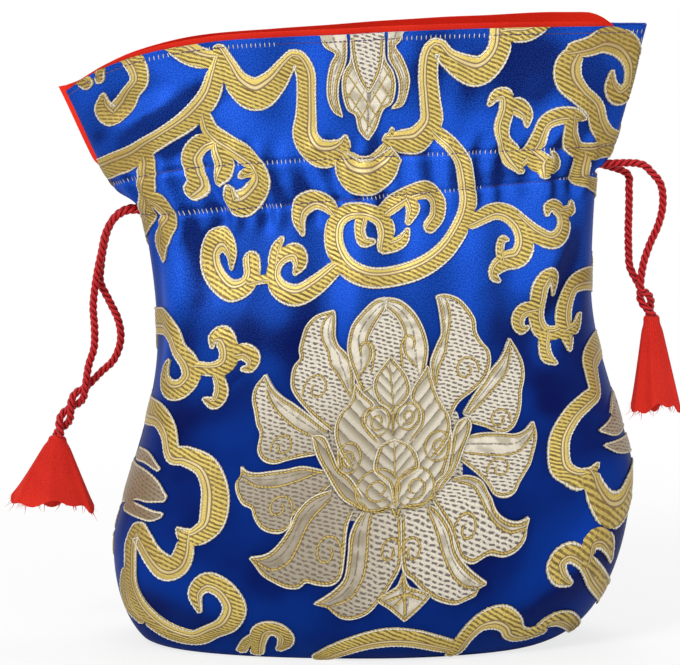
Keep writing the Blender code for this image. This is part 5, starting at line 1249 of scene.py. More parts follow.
@dataclass(frozen=True)
class ThreadFinish:
    """Laid thread with painted shade: a pale middle, darker sides and a dark notch at each
    turn of its ply.
    """

    name: str
    middle: Colour
    sides: Colour
    notch: float = 0.55
    gloss: Gloss = Gloss(roughness=0.5, metallic=0.15, specular=0.35)

    def make(self, groups: Groups) -> Material:
        """Builds the material."""
        made, wires, shader = shade(self.name, self.gloss)
        place = groups.use(wires, groups.place)
        across = wires.attribute("across")
        along = wires.attribute("along")
        # Painted shade of the round thread: pale in the middle, darker towards its sides.
        edge = wires.smooth(abs(across), 0.25, 0.85)
        colour = wires.mix(edge, linear(*self.middle), linear(*self.sides))
        ply = wires.math("FRACT", along * 1.15 + across * 0.35)
        wear_or_painted_shade = wires.smooth(wires.noise(place["Place"], 0.9), 0.3, 0.6)
        dent = wires.band(ply, 0.5, 0.1, 0.16) * wear_or_painted_shade
        # Painted shade: brown towards the sides of the panel, where the cloth turns away.
        aside = wires.smooth(abs(place["U"]), 50.0, 66.0)
        thread_with_painted_side_shade = wires.mix(aside * 0.35, colour, linear(150, 124, 74))
        shadow = tuple(part * 0.45 for part in self.sides)
        wires.feed(shader.inputs["Base Color"], wires.mix(dent * self.notch, thread_with_painted_side_shade,
            linear(*shadow)))
        bumped(wires, shader, 1.0 - dent, 0.5, 0.00014)
        return made


@dataclass(frozen=True)
class PlainClothFinish:
    """Plain woven red cloth of the lining and the tassels."""

    name: str
    light: Colour
    dark: Colour
    gloss: Gloss = Gloss(roughness=0.7, sheen=0.05, specular=0.15)

    def make(self, groups: Groups) -> Material:
        """Builds the material."""
        made, wires, shader = shade(self.name, self.gloss)
        place = groups.use(wires, groups.place)
        grain = groups.use(wires, groups.grain, Place=place["Place"], Pitch=0.3, Twill=0.0)
        mixed = grain["Grain"] * 0.5 + grain["Tone"] * 0.5
        wires.feed(shader.inputs["Base Color"], wires.mix(wires.smooth(mixed, 0.25, 0.7),
            linear(*self.dark), linear(*self.light)))
        bumped(wires, shader, grain["Grain"], 0.35, 0.00015)
        return made


@dataclass(frozen=True)
class CordFinish:
    """Red satin cord: painted highlight on the crown of each ply, painted shade between plies."""

    gloss: Gloss = Gloss(roughness=0.38, sheen=0.03, specular=0.3)

    def make(self, groups: Groups) -> Material:
        """Builds the material."""
        made, wires, shader = shade("red satin cord", self.gloss)
        crown = wires.attribute("across")
        along = wires.attribute("along")
        fine = wires.math("FRACT", along * 2.4 + crown * 0.9)
        thread = wires.band(fine, 0.5, 0.12, 0.3)
        # Painted highlight on the crown of each ply, painted shade where the plies meet.
        colour = wires.mix(wires.smooth(crown, -0.35, 0.75), linear(112, 3, 8), linear(204, 12, 20))
        wires.feed(shader.inputs["Base Color"], wires.mix(thread * 0.3, colour, linear(120, 6, 8)))
        bumped(wires, shader, thread, 0.3, 0.0001)
        return made


@dataclass
class Finishes:
    """Every finish of the bag, made once."""

    groups: Groups = field(default_factory=Groups)

    def __post_init__(self) -> None:
        """Builds the materials."""
        self.satin = SatinFinish().make(self.groups)
        self.gold = GoldWeaveFinish().make(self.groups)
        self.hatched = SilverWeaveFinish(Weave.HATCHED_SILVER).make(self.groups)
        self.plain = SilverWeaveFinish(Weave.PLAIN_SILVER).make(self.groups)
        self.ribbed = SilverWeaveFinish(Weave.RIBBED_SILVER).make(self.groups)
        self.cream = ThreadFinish("cream thread", (240, 234, 216),
            (176, 158, 120)).make(self.groups)
        self.gold_thread = ThreadFinish("gold thread", (212, 186, 108), (134, 106, 46),
            0.75).make(self.groups)
        self.stitch = ThreadFinish("stitch thread", (92, 66, 118), (48, 38, 92)).make(self.groups)
        self.lining = PlainClothFinish("red lining", (244, 50, 20),
            (218, 28, 12)).make(self.groups)
        self.tassel = PlainClothFinish("red tassel cloth", (232, 52, 34),
            (186, 22, 16)).make(self.groups)
        self.cord = CordFinish().make(self.groups)


def dress(piece: Piece, material: Material,
          node: str | None = None) -> Piece:
    """Gives a piece its finish and hides the CAD node that it stands for."""
    piece.data.materials.append(material)
    if node:
        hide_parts(node)
    return piece


def on_panel(line: Array) -> Array:
    """Which flat points lie on the panel, clear of its edges."""
    return (np.abs(line[:, 0]) < 71.6) & (line[:, 1] < 165.4) & (line[:, 1] > 0.6)


def stretches(line: Array, kept: Array) -> list[Array]:
    """The unbroken stretches of a line whose points are kept, of four points or more."""
    ids = np.nonzero(kept)[0]
    parts = np.split(ids, np.nonzero(np.diff(ids) > 1)[0] + 1) if len(ids) else []
    return [line[part] for part in parts if len(part) >= 4]


@dataclass
class ClothShell:
    """A closed sheet of cloth over one panel, from its outer face to its inner one."""

    form: BagForm
    name: str
    side: Side
    columns: int
    heights: Array
    outer_mm: float
    inner_mm: float
    notch_mm: float = 0.0
    notch_height_mm: float = 127.5
    notch_half_mm: float = 5.5
    channel_mm: float = 0.0
    edge_mm: float = 0.0
    rise_mm: float = 0.0
    round_mm: float = 0.0

    def depth(self, v: Array) -> Array:
        """Extra depth of the sheet at the casing, a smooth step up and down, in mm."""
        near = np.clip(np.minimum(v - 113.0, 142.0 - v) / 9.0, 0, 1)
        return self.channel_mm * near * near * (3 - 2 * near)

    def build(self) -> Piece:
        """Lays rows of the sheet on the form: out along one face and back along the other.

        The half width of each row is the panel's, less a smooth bump where a cord leaves.

        Returns:
            The sheet as one closed mesh.
        """
        share = np.linspace(-1, 1, self.columns)
        share = np.sin(share * math.pi / 2) * 0.35 + share * 0.65
        near = np.clip(1 - np.abs(self.heights - self.notch_height_mm) / self.notch_half_mm, 0, 1)
        bump = self.notch_mm * near * near * (3 - 2 * near)
        half = (self.form.cloth_half_width_mm - bump)[:, None]
        across = np.concatenate([share, share[::-1]])[None, :] * half
        v = np.broadcast_to(self.heights[:, None], across.shape)
        lift = np.where(np.arange(2 * self.columns) < self.columns, -self.outer_mm, -self.inner_mm)
        points = self.form.place(across, v, lift[None, :] - self.depth(v), self.side, 2.0)
        rolled = np.clip((v - 126.0) / 7.0, 0, 1) * np.clip((-across / half - 0.95) / 0.05, 0, 1)
        points[..., 0] += self.side.value * self.edge_mm * MM * rolled
        raised = np.clip((points[..., 0] + 0.02) / 0.07, 0, 1)
        rounded = np.clip((points[..., 0] - 0.0585) / 0.0085, 0, 1) ** 2
        points[..., 2] += np.clip((v - 160.0) / 6.0, 0, 1) * MM * (self.rise_mm * raised
            - self.round_mm * rounded)
        blocks = MeshBlocks(self.name)
        # The last number of the satin is its painted light and shade, from its folds and the listed
        # places.
        blocks.add_loops(points, np.stack([across, v], axis=-1), across / 72.0, v,
            self.form.painted_light(across, v))
        return blocks.make()


@dataclass
class SideSeam:
    """Folded edge where the two panels are sewn together, from the base to the casing."""

    form: BagForm
    name: str
    side: int
    half_width_mm: float = 0.6
    half_depth_mm: float = 1.0
    steps: int = 110

    def build(self) -> Piece:
        """Ovals across a line midway between the edges of the two panels."""
        v = np.linspace(2.0, 123.0, self.steps)
        u = np.full_like(v, 72.0 * self.side)
        middle = (self.form.place(u, v, np.full_like(v, -0.5), Side.FRONT)
            + self.form.place(-u, v, np.full_like(v, -0.5), Side.BACK)) / 2
        deep = np.array([0.0, 1.0, 0.0])
        across = np.cross(deep, unit(np.gradient(middle, axis=0)))
        angle = circle_of(12)[None, :, None]
        loops = middle[:, None] + MM * (self.half_width_mm * np.cos(angle) * across[:, None]
            + self.half_depth_mm * np.sin(angle) * deep)
        blocks = MeshBlocks(self.name)
        flat = np.broadcast_to(np.stack([u, v], axis=-1)[:, None], (*loops.shape[:2], 2))
        # A fixed level of painted light and shade for the satin of the seam.
        blocks.add_loops(loops, flat, tone=0.45)
        return blocks.make()


@dataclass
class BaseSheet:
    """Oval sheet that closes the bottom."""

    form: BagForm
    name: str
    inset: float
    low: float
    high: float
    steps: int = 90
    columns: int = 14

    def build(self) -> Piece:
        """Loops across the oval between its front and back rims, below and above."""
        u = np.linspace(-71.4, 71.4, self.steps)
        front = self.form.wrap(u, u * 0, self.inset, Side.FRONT)
        back = self.form.wrap(-u, u * 0, self.inset, Side.BACK)
        share = np.linspace(0, 1, self.columns)[None, :, None]
        flat = front[:, None] * (1 - share) + back[:, None] * share
        below = flat.copy()
        below[..., 2] = self.low
        above = flat[:, ::-1].copy()
        above[..., 2] = self.high
        loops = np.concatenate([below, above], axis=1)
        blocks = MeshBlocks(self.name)
        # A fixed level of painted light and shade, which the satin's finish reads.
        blocks.add_loops(loops, loops[..., :2] / MM, tone=0.4)
        return blocks.make()


@dataclass
class Figure:
    """A woven figure laid on one panel: its closed outline and its order of laying."""

    outline: Array
    order: float


@dataclass
class Brocade:
    """The woven pattern of one panel: scrolls, lotus, pendant, their threads and seams."""

    form: BagForm
    side: Side
    finishes: Finishes
    gold_lift_mm: float = 0.40
    sunk_mm: float = 0.25
    relief: Relief = field(default_factory=Relief)
    figures: list[Figure] = field(default_factory=list)

    @property
    def label(self) -> str:
        """Name of the panel, for its pieces."""
        return self.side.name.lower()

    def lay(self, blocks: MeshBlocks, flat: Array, lift: Array, across: Array,
            along: Array, tone: float = 0.0) -> None:
        """Adds a closed strip with its top at lift over the satin and its back sunk in it.

        Args:
            blocks: Mesh that takes the strip.
            flat: Steps by top points by 2, in millimetres.
            lift: Height of each top point in millimetres.
            across: Place of each top point across the strip.
            along: Way along the strip of each step in millimetres.
            tone: One more number for the finish.
        """
        both = np.concatenate([flat, flat[:, ::-1]], axis=1)
        heights = np.concatenate([lift, np.full_like(lift, -self.sunk_mm)], axis=1)
        places = np.concatenate([across, across[:, ::-1]], axis=1)
        points = self.form.place(both[..., 0], both[..., 1], heights, self.side)
        blocks.add_loops(points, both, places, along[:, None], tone)
        self.relief.raise_under(flat, lift)

    def scroll_line(self, run: Run) -> tuple[Array, Array]:
        """Middle line and half width of a scroll, with round ends.

        Past each end the half width falls as a quarter circle over its own length.
        """
        line = curve_through(np.array(run), 0.95)
        middle, half = line[:, :2], line[:, 2] / 2
        turn = np.linspace(0, math.pi / 2, 6)[1:]
        start = (middle[0] - middle[1]) / np.linalg.norm(middle[0] - middle[1])
        end = (middle[-1] - middle[-2]) / np.linalg.norm(middle[-1] - middle[-2])
        head = middle[0] + np.outer(np.sin(turn)[::-1] * half[0], start)
        tail = middle[-1] + np.outer(np.sin(turn) * half[-1], end)
        wide = np.concatenate([np.maximum(np.cos(turn)[::-1], 0.12) * half[0], half,
            np.maximum(np.cos(turn), 0.12) * half[-1]])
        return np.vstack([head, middle, tail]), wide

    def scrolls(self) -> None:
        """Gold scrolls as crowned strips along their middle lines.

        The top rises over the strip as 1 less the fourth power of the place across, and
        the place across is turned so that 1 is the inside of the curl.
        """
        gold = MeshBlocks(f"{self.label}_gold_scrolls")
        silver = MeshBlocks(f"{self.label}_side_leaves")
        x = np.cos(np.linspace(0, math.pi, 9))
        for number, run in enumerate(SCROLLS + SIDE_LEAVES):
            leaf = number >= len(SCROLLS)
            middle, half = self.scroll_line(run)
            normal = normals_of(middle)
            flat = middle[:, None] + normal[:, None] * (half[:, None] * x)[..., None]
            turning = np.unwrap(np.arctan2(*np.gradient(middle, axis=0).T[::-1]))
            inner = 1.0 if turning[-1] > turning[0] else -1.0
            top = self.gold_lift_mm + 0.03 * (number % 5)
            lift = np.broadcast_to(top * (0.45 + 0.55 * (1 - x**4)), flat.shape[:2]).copy()
            along = way_along(middle)
            across = np.broadcast_to(inner * x, flat.shape[:2])
            self.lay(silver if leaf else gold, flat, lift, across, along)
            self.figures.append(Figure(np.vstack([flat[:, 0], flat[::-1, -1]]), number * 0.001))
        self.petal(gold, LOBE, 1.0)
        dress(gold.make(), self.finishes.gold)
        dress(silver.make(), self.finishes.hatched)

    def petal(self, blocks: MeshBlocks, petal: Petal, order: float) -> None:
        """One petal as a crowned sheet between its two edges.

        The crown is 1 less the square of the place across. Ribs add the root of a sine of
        the height less a share of the way from the middle of the lotus, a V on each side.

        Args:
            blocks: Mesh that takes the petal.
            petal: Edges and level.
            order: Its order of laying, which decides what covers what.
        """
        steps = 64 if petal.ribs else 34
        left, right = resample(petal.left, steps), resample(petal.right, steps)
        x = np.cos(np.linspace(0, math.pi, 45 if petal.ribs else 15))
        share = (1 - x) / 2
        flat = left[:, None] * (1 - share)[None, :, None] + right[:, None] * share[None, :, None]
        lift = np.broadcast_to(0.22 + petal.level + 0.30 * (1 - x**2), flat.shape[:2]).copy()
        if petal.ribs:
            rise = flat[..., 1] - RIB_SLOPE * np.abs(flat[..., 0] - RIB_AXIS_MM)
            lift += 0.42 * np.sqrt(np.abs(np.sin(math.pi * rise / petal.ribs))) - 0.2
        across = np.broadcast_to(-x, flat.shape[:2])
        self.lay(blocks, flat, lift, across, np.linspace(0, 30, steps), petal.ribs)
        self.figures.append(Figure(np.vstack([left, right[::-1]]), order))
        if petal.stripe:
            line = resample(petal.stripe, steps)
            edge = left if petal.stripe_on_left else right
            band = edge[:, None] * (1 - share)[None, :, None] + line[:, None] * share[None, :, None]
            raised = np.broadcast_to(0.36 + petal.level + 0.34 * (1 - x**2), band.shape[:2]).copy()
            self.lay(self.plain, band, raised, np.broadcast_to(x, band.shape[:2]),
                np.linspace(0, 30, steps))

    def round_sheet(self, blocks: MeshBlocks, u: float, v: float, half_u: float, half_v: float,
                    top: float, power: float = 2.0, ribs: float = 0.0) -> None:
        """A domed oval sheet: its height falls as 1 less the radius squared."""
        t = np.linspace(-1, 1, 15)
        wide = np.maximum(1 - np.abs(t) ** power, 0.004) ** (1 / power)
        x = np.cos(np.linspace(0, math.pi, 9))
        flat = np.stack([u + half_u * wide[:, None] * x, v + half_v * t[:, None] + 0 * x], axis=-1)
        dome = top + 0.40 * (1 - t[:, None]**2 - (wide[:, None] * x) ** 2)
        self.lay(blocks, flat, dome, np.broadcast_to(0.4 + 0.6 * x ** 2, dome.shape), t * half_v,
            ribs)

    def thread(self, blocks: MeshBlocks, line: Array, half_mm: float, above_mm: float,
               beading: float = 0.0) -> None:
        """A round thread along a flat line, lying on whatever is woven below it.

        Args:
            blocks: Mesh that takes the thread.
            line: Rows of flat points, evenly spaced.
            half_mm: Half width of the thread.
            above_mm: How far its middle stands above the weave.
            beading: Share by which it swells and thins at each woven stitch.
        """
        if len(line) < 3:
            return
        angle = circle_of(6)
        ends = np.clip(np.minimum(np.arange(len(line)), np.arange(len(line))[::-1]) / 1.5, 0.35, 1)
        along = way_along(line)[:, None]
        half = half_mm * ends[:, None] * (1 + beading * np.sin(math.tau * along / 1.35))
        normal = normals_of(line)
        flat = line[:, None] + normal[:, None] * (half * np.cos(angle))[..., None]
        base = self.relief.over(line)[:, None] + above_mm
        lift = base + half * 0.62 * np.sin(angle)
        points = self.form.place(flat[..., 0], flat[..., 1], lift, self.side)
        blocks.add_loops(points, flat, np.cos(angle), along)

    def kept_runs(self, line: Array, order: float) -> list[Array]:
        """Stretches of a line that lie on the panel and under no later figure."""
        inside = on_panel(line)
        for figure in self.figures:
            if figure.order > order:
                inside &= turns_round(line, figure.outline) == 0
        return stretches(line, inside)

    def outlines(self) -> None:
        """Cream thread round every gold figure, left out where two figures join."""
        cream = self.cream
        for number, run in enumerate(SCROLLS + SIDE_LEAVES):
            middle, half = self.scroll_line(run)
            normal = normals_of(middle)
            ring = np.vstack([middle + normal * half[:, None], (middle - normal * half[:,
                None])[::-1]])
            ring = np.vstack([ring, ring[:3]])
            outward = np.vstack([normal, -normal[::-1]])
            outward = np.vstack([outward, outward[:3]])
            probe = ring + outward * 0.35
            keep = on_panel(ring)
            for other, figure in enumerate(self.figures):
                if other != number:
                    keep &= turns_round(probe, figure.outline) == 0
            for part in stretches(ring, keep):
                self.thread(cream, curve_through(part, 0.55), 0.30, 0.0, 0.3)
        lobe = LOBE.outline(30, 20)
        for part in self.kept_runs(curve_through(lobe, 0.55), 1.0):
            self.thread(cream, part, 0.30, 0.0, 0.3)

    def flowers(self) -> None:
        """Silver lotus and pendant, laid in the order in which their petals overlap."""
        hatched = MeshBlocks(f"{self.label}_lotus_petals")
        ribbed = MeshBlocks(f"{self.label}_lotus_heart")
        self.round_sheet(hatched, 4.5, 59.0, 16.4, 16.5, 0.1, power=4.0)
        self.plain = MeshBlocks(f"{self.label}_lotus_ribbons")
        threads = MeshBlocks(f"{self.label}_gold_threads")
        ordered = sorted(enumerate(OUTER_PETALS), key=lambda pair: pair[1].level)
        laid = [(petal, 2.0 + place) for place, (_, petal) in enumerate(ordered)]
        laid += [(petal, 20.0 + k) for k, petal in enumerate(RIBBONS + FLAMES)]
        laid += [(petal, 40.0 + k) for k, petal in enumerate(PENDANT_LEAVES + (PENDANT_BODY,
            PENDANT_HEART))]
        for petal, order in laid:
            target = {Weave.HATCHED_SILVER: hatched, Weave.RIBBED_SILVER: ribbed,
                Weave.PLAIN_SILVER: self.plain}[petal.weave]
            self.petal(target, petal, order)
        for u, v, half_u, half_v, level in BEADS:
            self.round_sheet(ribbed, u, v, half_u, half_v, level, ribs=3.6)
        for petal, order in laid:
            self.petal_threads(threads, petal, order)
        for line in VEINS:
            self.thread(threads, curve_through(np.array(line), 0.7), 0.22, 0.02)
        for line in HOOKS:
            self.thread(threads, curve_through(np.array(line), 0.7), 0.34, 0.05)
        for u, v, half_u, half_v, _ in BEADS:
            sign = 1.0 if u > RIB_AXIS_MM else -1.0
            for first, last, turns, count in ((1.0, 1.0, 1.0, 28), (0.62, 0.26, 1.15, 18)):
                turn = np.linspace(0, math.tau * turns, count)
                reach = np.linspace(first, last, count)
                ring = np.stack([u + sign * reach * half_u * np.sin(turn - 0.9), v - reach * half_v
                    * np.cos(turn - 0.9)], axis=1)
                self.thread(threads, ring, 0.27, 0.04)
        self.lattice(threads)
        dress(hatched.make(), self.finishes.hatched)
        dress(ribbed.make(), self.finishes.ribbed)
        dress(self.plain.make(), self.finishes.plain)
        dress(threads.make(), self.finishes.gold_thread)

    def petal_threads(self, blocks: MeshBlocks, petal: Petal, order: float) -> None:
        """Cream and gold threads round a petal, one along its stripe and one in its curl."""
        left, right = resample(petal.left, 60), resample(petal.right, 60)
        ring = curve_through(np.vstack([left, right[::-1][1:]]), 0.7)
        for part in self.kept_runs(ring, order):
            self.thread(self.cream, part, 0.26, 0.0)
        centre = (left + right) / 2
        for edge in (left, right):
            toward = centre - edge
            reach = np.linalg.norm(toward, axis=1)
            shift = np.minimum(0.62, 0.5 * reach) / np.maximum(reach, 1e-6)
            inner = (edge + toward * shift[:, None])[:-1]
            for part in self.kept_runs(curve_through(inner, 0.7), order):
                self.thread(blocks, part, 0.28, 0.05)
        if petal.stripe:
            for part in self.kept_runs(curve_through(np.array(petal.stripe), 0.7), order):
                self.thread(blocks, part, 0.30, 0.05)
        if petal.curl:
            u, v, radius, sign = petal.curl
            turn = np.linspace(-0.62 * math.pi, 1.9 * math.pi, 40)
            reach = radius * (1.16 - 0.86 * np.linspace(0, 1, 40) ** 0.8)
            start = 0.5 * math.pi
            spiral = np.stack([u + 0.92 * reach * np.cos(start - sign * turn), v + 1.08 * reach
                * np.sin(start - sign * turn)], axis=1)
            for part in self.kept_runs(curve_through(spiral, 0.6), order):
                self.thread(blocks, part, 0.27, 0.05)

    def lattice(self, blocks: MeshBlocks) -> None:
        """Crossed threads in diamonds over the body of the pendant."""
        body = PENDANT_BODY.outline(40, 40)
        heart = PENDANT_HEART.outline(30, 30)
        for lean in (-1.0, 1.0):
            for start in np.arange(118.4, 184.0, 5.0):
                u = np.linspace(-6, 12, 46)
                line = np.stack([u, start + lean * 1.55 * (u - 2.6)], axis=1)
                inside = (turns_round(line, body) != 0) & (turns_round(line, heart) == 0)
                for part in stretches(line, inside):
                    self.thread(blocks, part, 0.17, 0.04)

    def seams(self) -> None:
        """Machine stitches along the rows of the casing, the mouth and the right edge.

        Over a woven figure a stitch is a dark dash along its row. On the satin it is a short
        pale tick across the row, shown where a sine of its place is high enough.
        """
        stitches = MeshBlocks(f"{self.label}_stitches")
        across = np.arange(-70.4, 70.6, 1.15)
        rows = [np.stack([across, seam.height(across)], axis=1) for seam in CASING_SEAMS]
        rows.append(np.stack([across, np.full(len(across), 164.3)], axis=1))
        rise = np.arange(137.0, 163.0, 1.15)
        rows.append(np.stack([np.full(len(rise), 70.4), rise], axis=1))
        dash = np.array([[-0.46, 0.0], [-0.2, 0.03], [0.0, 0.04], [0.2, 0.03], [0.46, 0.0]])
        tick = np.array([[0.0, -0.55], [0.0, -0.25], [0.0, 0.0], [0.0, 0.25], [0.05, 0.55]])
        for number, row in enumerate(rows):
            woven = np.zeros(len(row), bool)
            for figure in self.figures:
                woven |= turns_round(row, figure.outline) != 0
            pale = ~woven & (np.sin(row[:, 0] * 0.11 + row[:, 1] * 0.2 + 2.1 * number) > -0.35)
            for point in row[~pale]:
                self.thread(stitches, point + dash, 0.17, 0.06)
            for point in row[pale]:
                self.thread(self.cream, point + tick, 0.14, 0.08)
        dress(self.cream.make(), self.finishes.cream)
        dress(stitches.make(), self.finishes.stitch)

    def build(self) -> None:
        """Lays everything on the panel, the lowest first."""
        self.plain = MeshBlocks("plain")
        self.cream = MeshBlocks(f"{self.label}_cream_outlines")
        self.scrolls()
        self.flowers()
        self.outlines()
        self.seams()


@dataclass
class Rope:
    """A cord of three plies laid along a path."""

    name: str
    path: Array
    up: tuple[float, float, float]
    radius: float = 0.00102
    lay_length: float = 0.0050
    ply_share: float = 0.50
    around: int = 10
    spacing: float = 0.00045

    def build(self) -> Piece:
        """Three tubes that turn round the path, each an oval pressed against the others.

        The middle of a ply circles the path once in the lay length. Its section is wider
        round the path than out from it.

        Returns:
            The rope as three closed tubes in one mesh.
        """
        line = curve_through(self.path, self.spacing)
        along = unit(np.gradient(line, axis=0))
        first = unit(np.cross(along, self.up))
        second = np.cross(first, along)
        length = way_along(line)
        circle = circle_of(self.around)
        offset = self.radius * self.ply_share
        ends = np.clip(np.minimum(length, length[-1] - length) / 0.0006, 0.25, 1)[:, None, None]
        blocks = MeshBlocks(self.name)
        for ply in range(3):
            angle = (math.tau * (length / self.lay_length + ply / 3))[:, None]
            out = np.cos(angle) * first + np.sin(angle) * second
            round_way = -np.sin(angle) * first + np.cos(angle) * second
            middle = line + offset * out
            section = (self.radius - offset) * np.cos(circle)[None, :, None] * out[:,
                None] + (self.radius - offset) * 1.12 * np.sin(circle)[None, :,
                None] * round_way[:, None]
            places = np.cos(circle), length[:, None] / MM
            flat = np.stack(np.broadcast_arrays(*places), axis=-1)
            blocks.add_loops(middle[:, None] + section * ends, flat, *places)
        return blocks.make()


@dataclass(frozen=True)
class CordEnd:
    """The free end of a drawstring, as the CAD has it."""

    name: str
    upper: bool
    exit_side: int
    side: Side
    route: Run
    twist: Run
    phase: float


@dataclass
class Cords:
    """Two drawstrings: their runs in the casing and their free ends."""

    form: BagForm
    finishes: Finishes
    diameter: float = 0.00204
    channel_inset: float = 0.0029
    casing_mm: tuple[float, float] = (122.0, 133.0)
    lane_margin_mm: float = 3.1
    run_end: float = 0.952
    twist_pitch: float = 0.0125
    gap: float = 0.0002

    def lane_mm(self, upper: bool) -> float:
        """Height of one of the two lanes of the casing, in millimetres."""
        low, high = self.casing_mm
        spread = (high - low) / 2 - self.lane_margin_mm
        return (low + high) / 2 + (spread if upper else -spread)

    def run_path(self, upper: bool, exit_side: int) -> Array:
        """A drawstring through the casing, out along the front and back behind."""
        steps = np.concatenate([np.linspace(-self.run_end, -0.8, 4), np.linspace(-0.64, 0.64, 8),
            np.linspace(0.8, 1.0, 5)[:-1]])
        u = steps * self.form.cloth_half_width_mm * -exit_side
        v = np.full_like(u, self.lane_mm(upper))
        front = self.form.wrap(u, v, self.channel_inset, Side.FRONT)
        back = self.form.wrap(-u, v, self.channel_inset, Side.BACK)
        return np.vstack([front, back[::-1]])

    def twist_path(self, middle: Run, phase: float) -> Array:
        """One strand of a pair that circle their middle line once in the twist pitch."""
        line = curve_through(np.array(middle) * MM, 0.0018)
        length = way_along(line)
        along = unit(np.gradient(line, axis=0))
        across = unit(np.cross(along, (0.0, 1.0, 0.0)))
        out = np.cross(across, along)
        angle = (phase + math.tau * length / self.twist_pitch)[:, None]
        return line + (self.diameter / 2 + self.gap) * (np.cos(angle) * across + np.sin(angle)
            * out)

    def end_path(self, end: CordEnd) -> Array:
        """Out of the casing, down the route and into the twist."""
        run = self.run_path(end.upper, end.exit_side)
        tip, inner = (run[0], run[1]) if end.side is Side.FRONT else (run[-1], run[-2])
        leave = (tip - inner) / np.linalg.norm(tip - inner)
        start = tip + leave * self.gap * 1.2
        out = start + leave * self.diameter * 0.6
        twist = self.twist_path(end.twist, end.phase)
        return np.vstack([start, out, np.array(end.route) * MM, twist])

    def build(self, ends: tuple[CordEnd, ...], tassels: dict[int, Piece]) -> None:
        """Makes the runs and the free ends, and logs the length of each free end."""
        for name, upper, exit_side in (("left", False, -1), ("right", True, 1)):
            rope = Rope(f"{name}_casing_cord", self.run_path(upper, exit_side), (0.0, 0.0, 1.0),
                spacing=0.0009)
            dress(rope.build(), self.finishes.cord, f"{name}_drawstring")
        for end in ends:
            path = curve_through(self.end_path(end), 0.0012)
            rope = Rope(f"{end.name}_rope", path, (0.0, 1.0, 0.0))
            piece = dress(rope.build(), self.finishes.cord, end.name)
            length = float(np.linalg.norm(np.diff(path, axis=0), axis=1).sum())
            LOG.info("%s: %.0f mm long", end.name, length / MM)


@dataclass
class Tassel:
    """Folded cloth gathered round the cord ends and flared to a frayed hem."""

    name: str
    top: tuple[float, float, float]
    hem: tuple[float, float, float]
    half_width: float
    half_depth: float = 0.0030
    neck: float = 0.0019
    folds: int = 5
    around: int = 96
    steps: int = 44
    cloth: float = 0.0007
    hem_wave: float = 0.0010
    skew: float = 0.0

    def outer(self, share: Array, angle: Array, thickness: float) -> Array:
        """Points of the folded cone, thickness inside its outer face.

        Width and depth grow from the neck to the hem, and the depth swings in folds that
        sharpen towards the hem: a sine of the angle bent by a second sine.

        Args:
            share: Way from the neck to the hem.
            angle: Angle round the cone.
            thickness: Depth inside the outer face, in metres.

        Returns:
            Points of the shape of share and angle together, by 3.
        """
        top, hem = np.array(self.top), np.array(self.hem)
        axis = hem - top
        across = np.cross(axis, (0.0, 1.0, 0.0))
        across /= np.linalg.norm(across)
        deep = np.cross(axis, across)
        deep /= np.linalg.norm(deep)
        flare = share ** 1.02
        swell = 1 - 0.10 * np.exp(-((share - 0.10) / 0.05) ** 2)
        width = (self.neck + (self.half_width - self.neck) * flare) * swell - thickness
        depth = (self.neck * 0.9 + (self.half_depth - self.neck * 0.9) * flare) * swell - thickness
        bent = self.folds * angle + 0.8 * np.sin(2 * angle + 1.0) + 0.6 * share
        fold = 1 + 0.30 * flare * np.sin(bent) + 0.08 * flare * np.sin(2.3 * bent + 1)
        dip = self.hem_wave * flare**4 * (np.sin(3 * angle + 0.7) + 0.6 * np.sin(7 * angle))
        cap = np.clip(share / 0.03, 0.15, 1) ** 0.5
        return (top + axis * share[..., None] + (dip / np.linalg.norm(axis))[..., None] * axis
                + (width * cap * np.cos(angle) + self.skew * flare**2)[..., None] * across
                + (depth * cap * fold * np.sin(angle))[..., None] * deep)

    def build(self) -> Piece:
        """Outer face from the neck to the hem, then the inner face back up inside it."""
        down = np.linspace(0, 1, self.steps)
        up = np.linspace(1, 0.55, 14)
        share = np.concatenate([down, up])[:, None]
        angle = circle_of(self.around)[None, :]
        share, angle = np.broadcast_arrays(share, angle)
        thick = np.where(np.arange(len(share)) < self.steps, 0.0, self.cloth)[:, None]
        loops = self.outer(share, angle, thick)
        blocks = MeshBlocks(self.name)
        length = np.linalg.norm(np.array(self.hem) - np.array(self.top)) / MM
        flat = np.stack([angle * self.half_width / MM * share.clip(0.2, 1), share * length],
            axis=-1)
        blocks.add_loops(loops, flat, np.cos(angle), share * length)
        self.fray(blocks)
        return blocks.make()

    def fray(self, blocks: MeshBlocks) -> None:
        """Loose threads at the hem, each a thin tapered tube that strays a little."""
        chance = np.random.default_rng(7)
        top, hem = np.array(self.top), np.array(self.hem)
        down = (hem - top) / np.linalg.norm(hem - top)
        for angle in chance.uniform(0, math.tau, 64):
            root = self.outer(np.array([0.985]), np.array([angle]), self.cloth / 2)[0]
            stray = chance.normal(0, 0.0006, 3) + np.array([0.0009 * math.cos(angle), 0, 0])
            length = 0.0005 + 0.0026 * chance.uniform() ** 3
            t = np.linspace(0, 1, 5)[:, None]
            line = root + down * length * t + stray * t**2
            turn = circle_of(4)
            ring = np.stack([np.cos(turn), np.sin(turn), 0 * turn], axis=1)
            loops = line[:, None] + ring[None] * (0.00012 * (1.15 - t))[:, None]
            flat = np.zeros((5, 4, 2))
            blocks.add_loops(loops, flat)


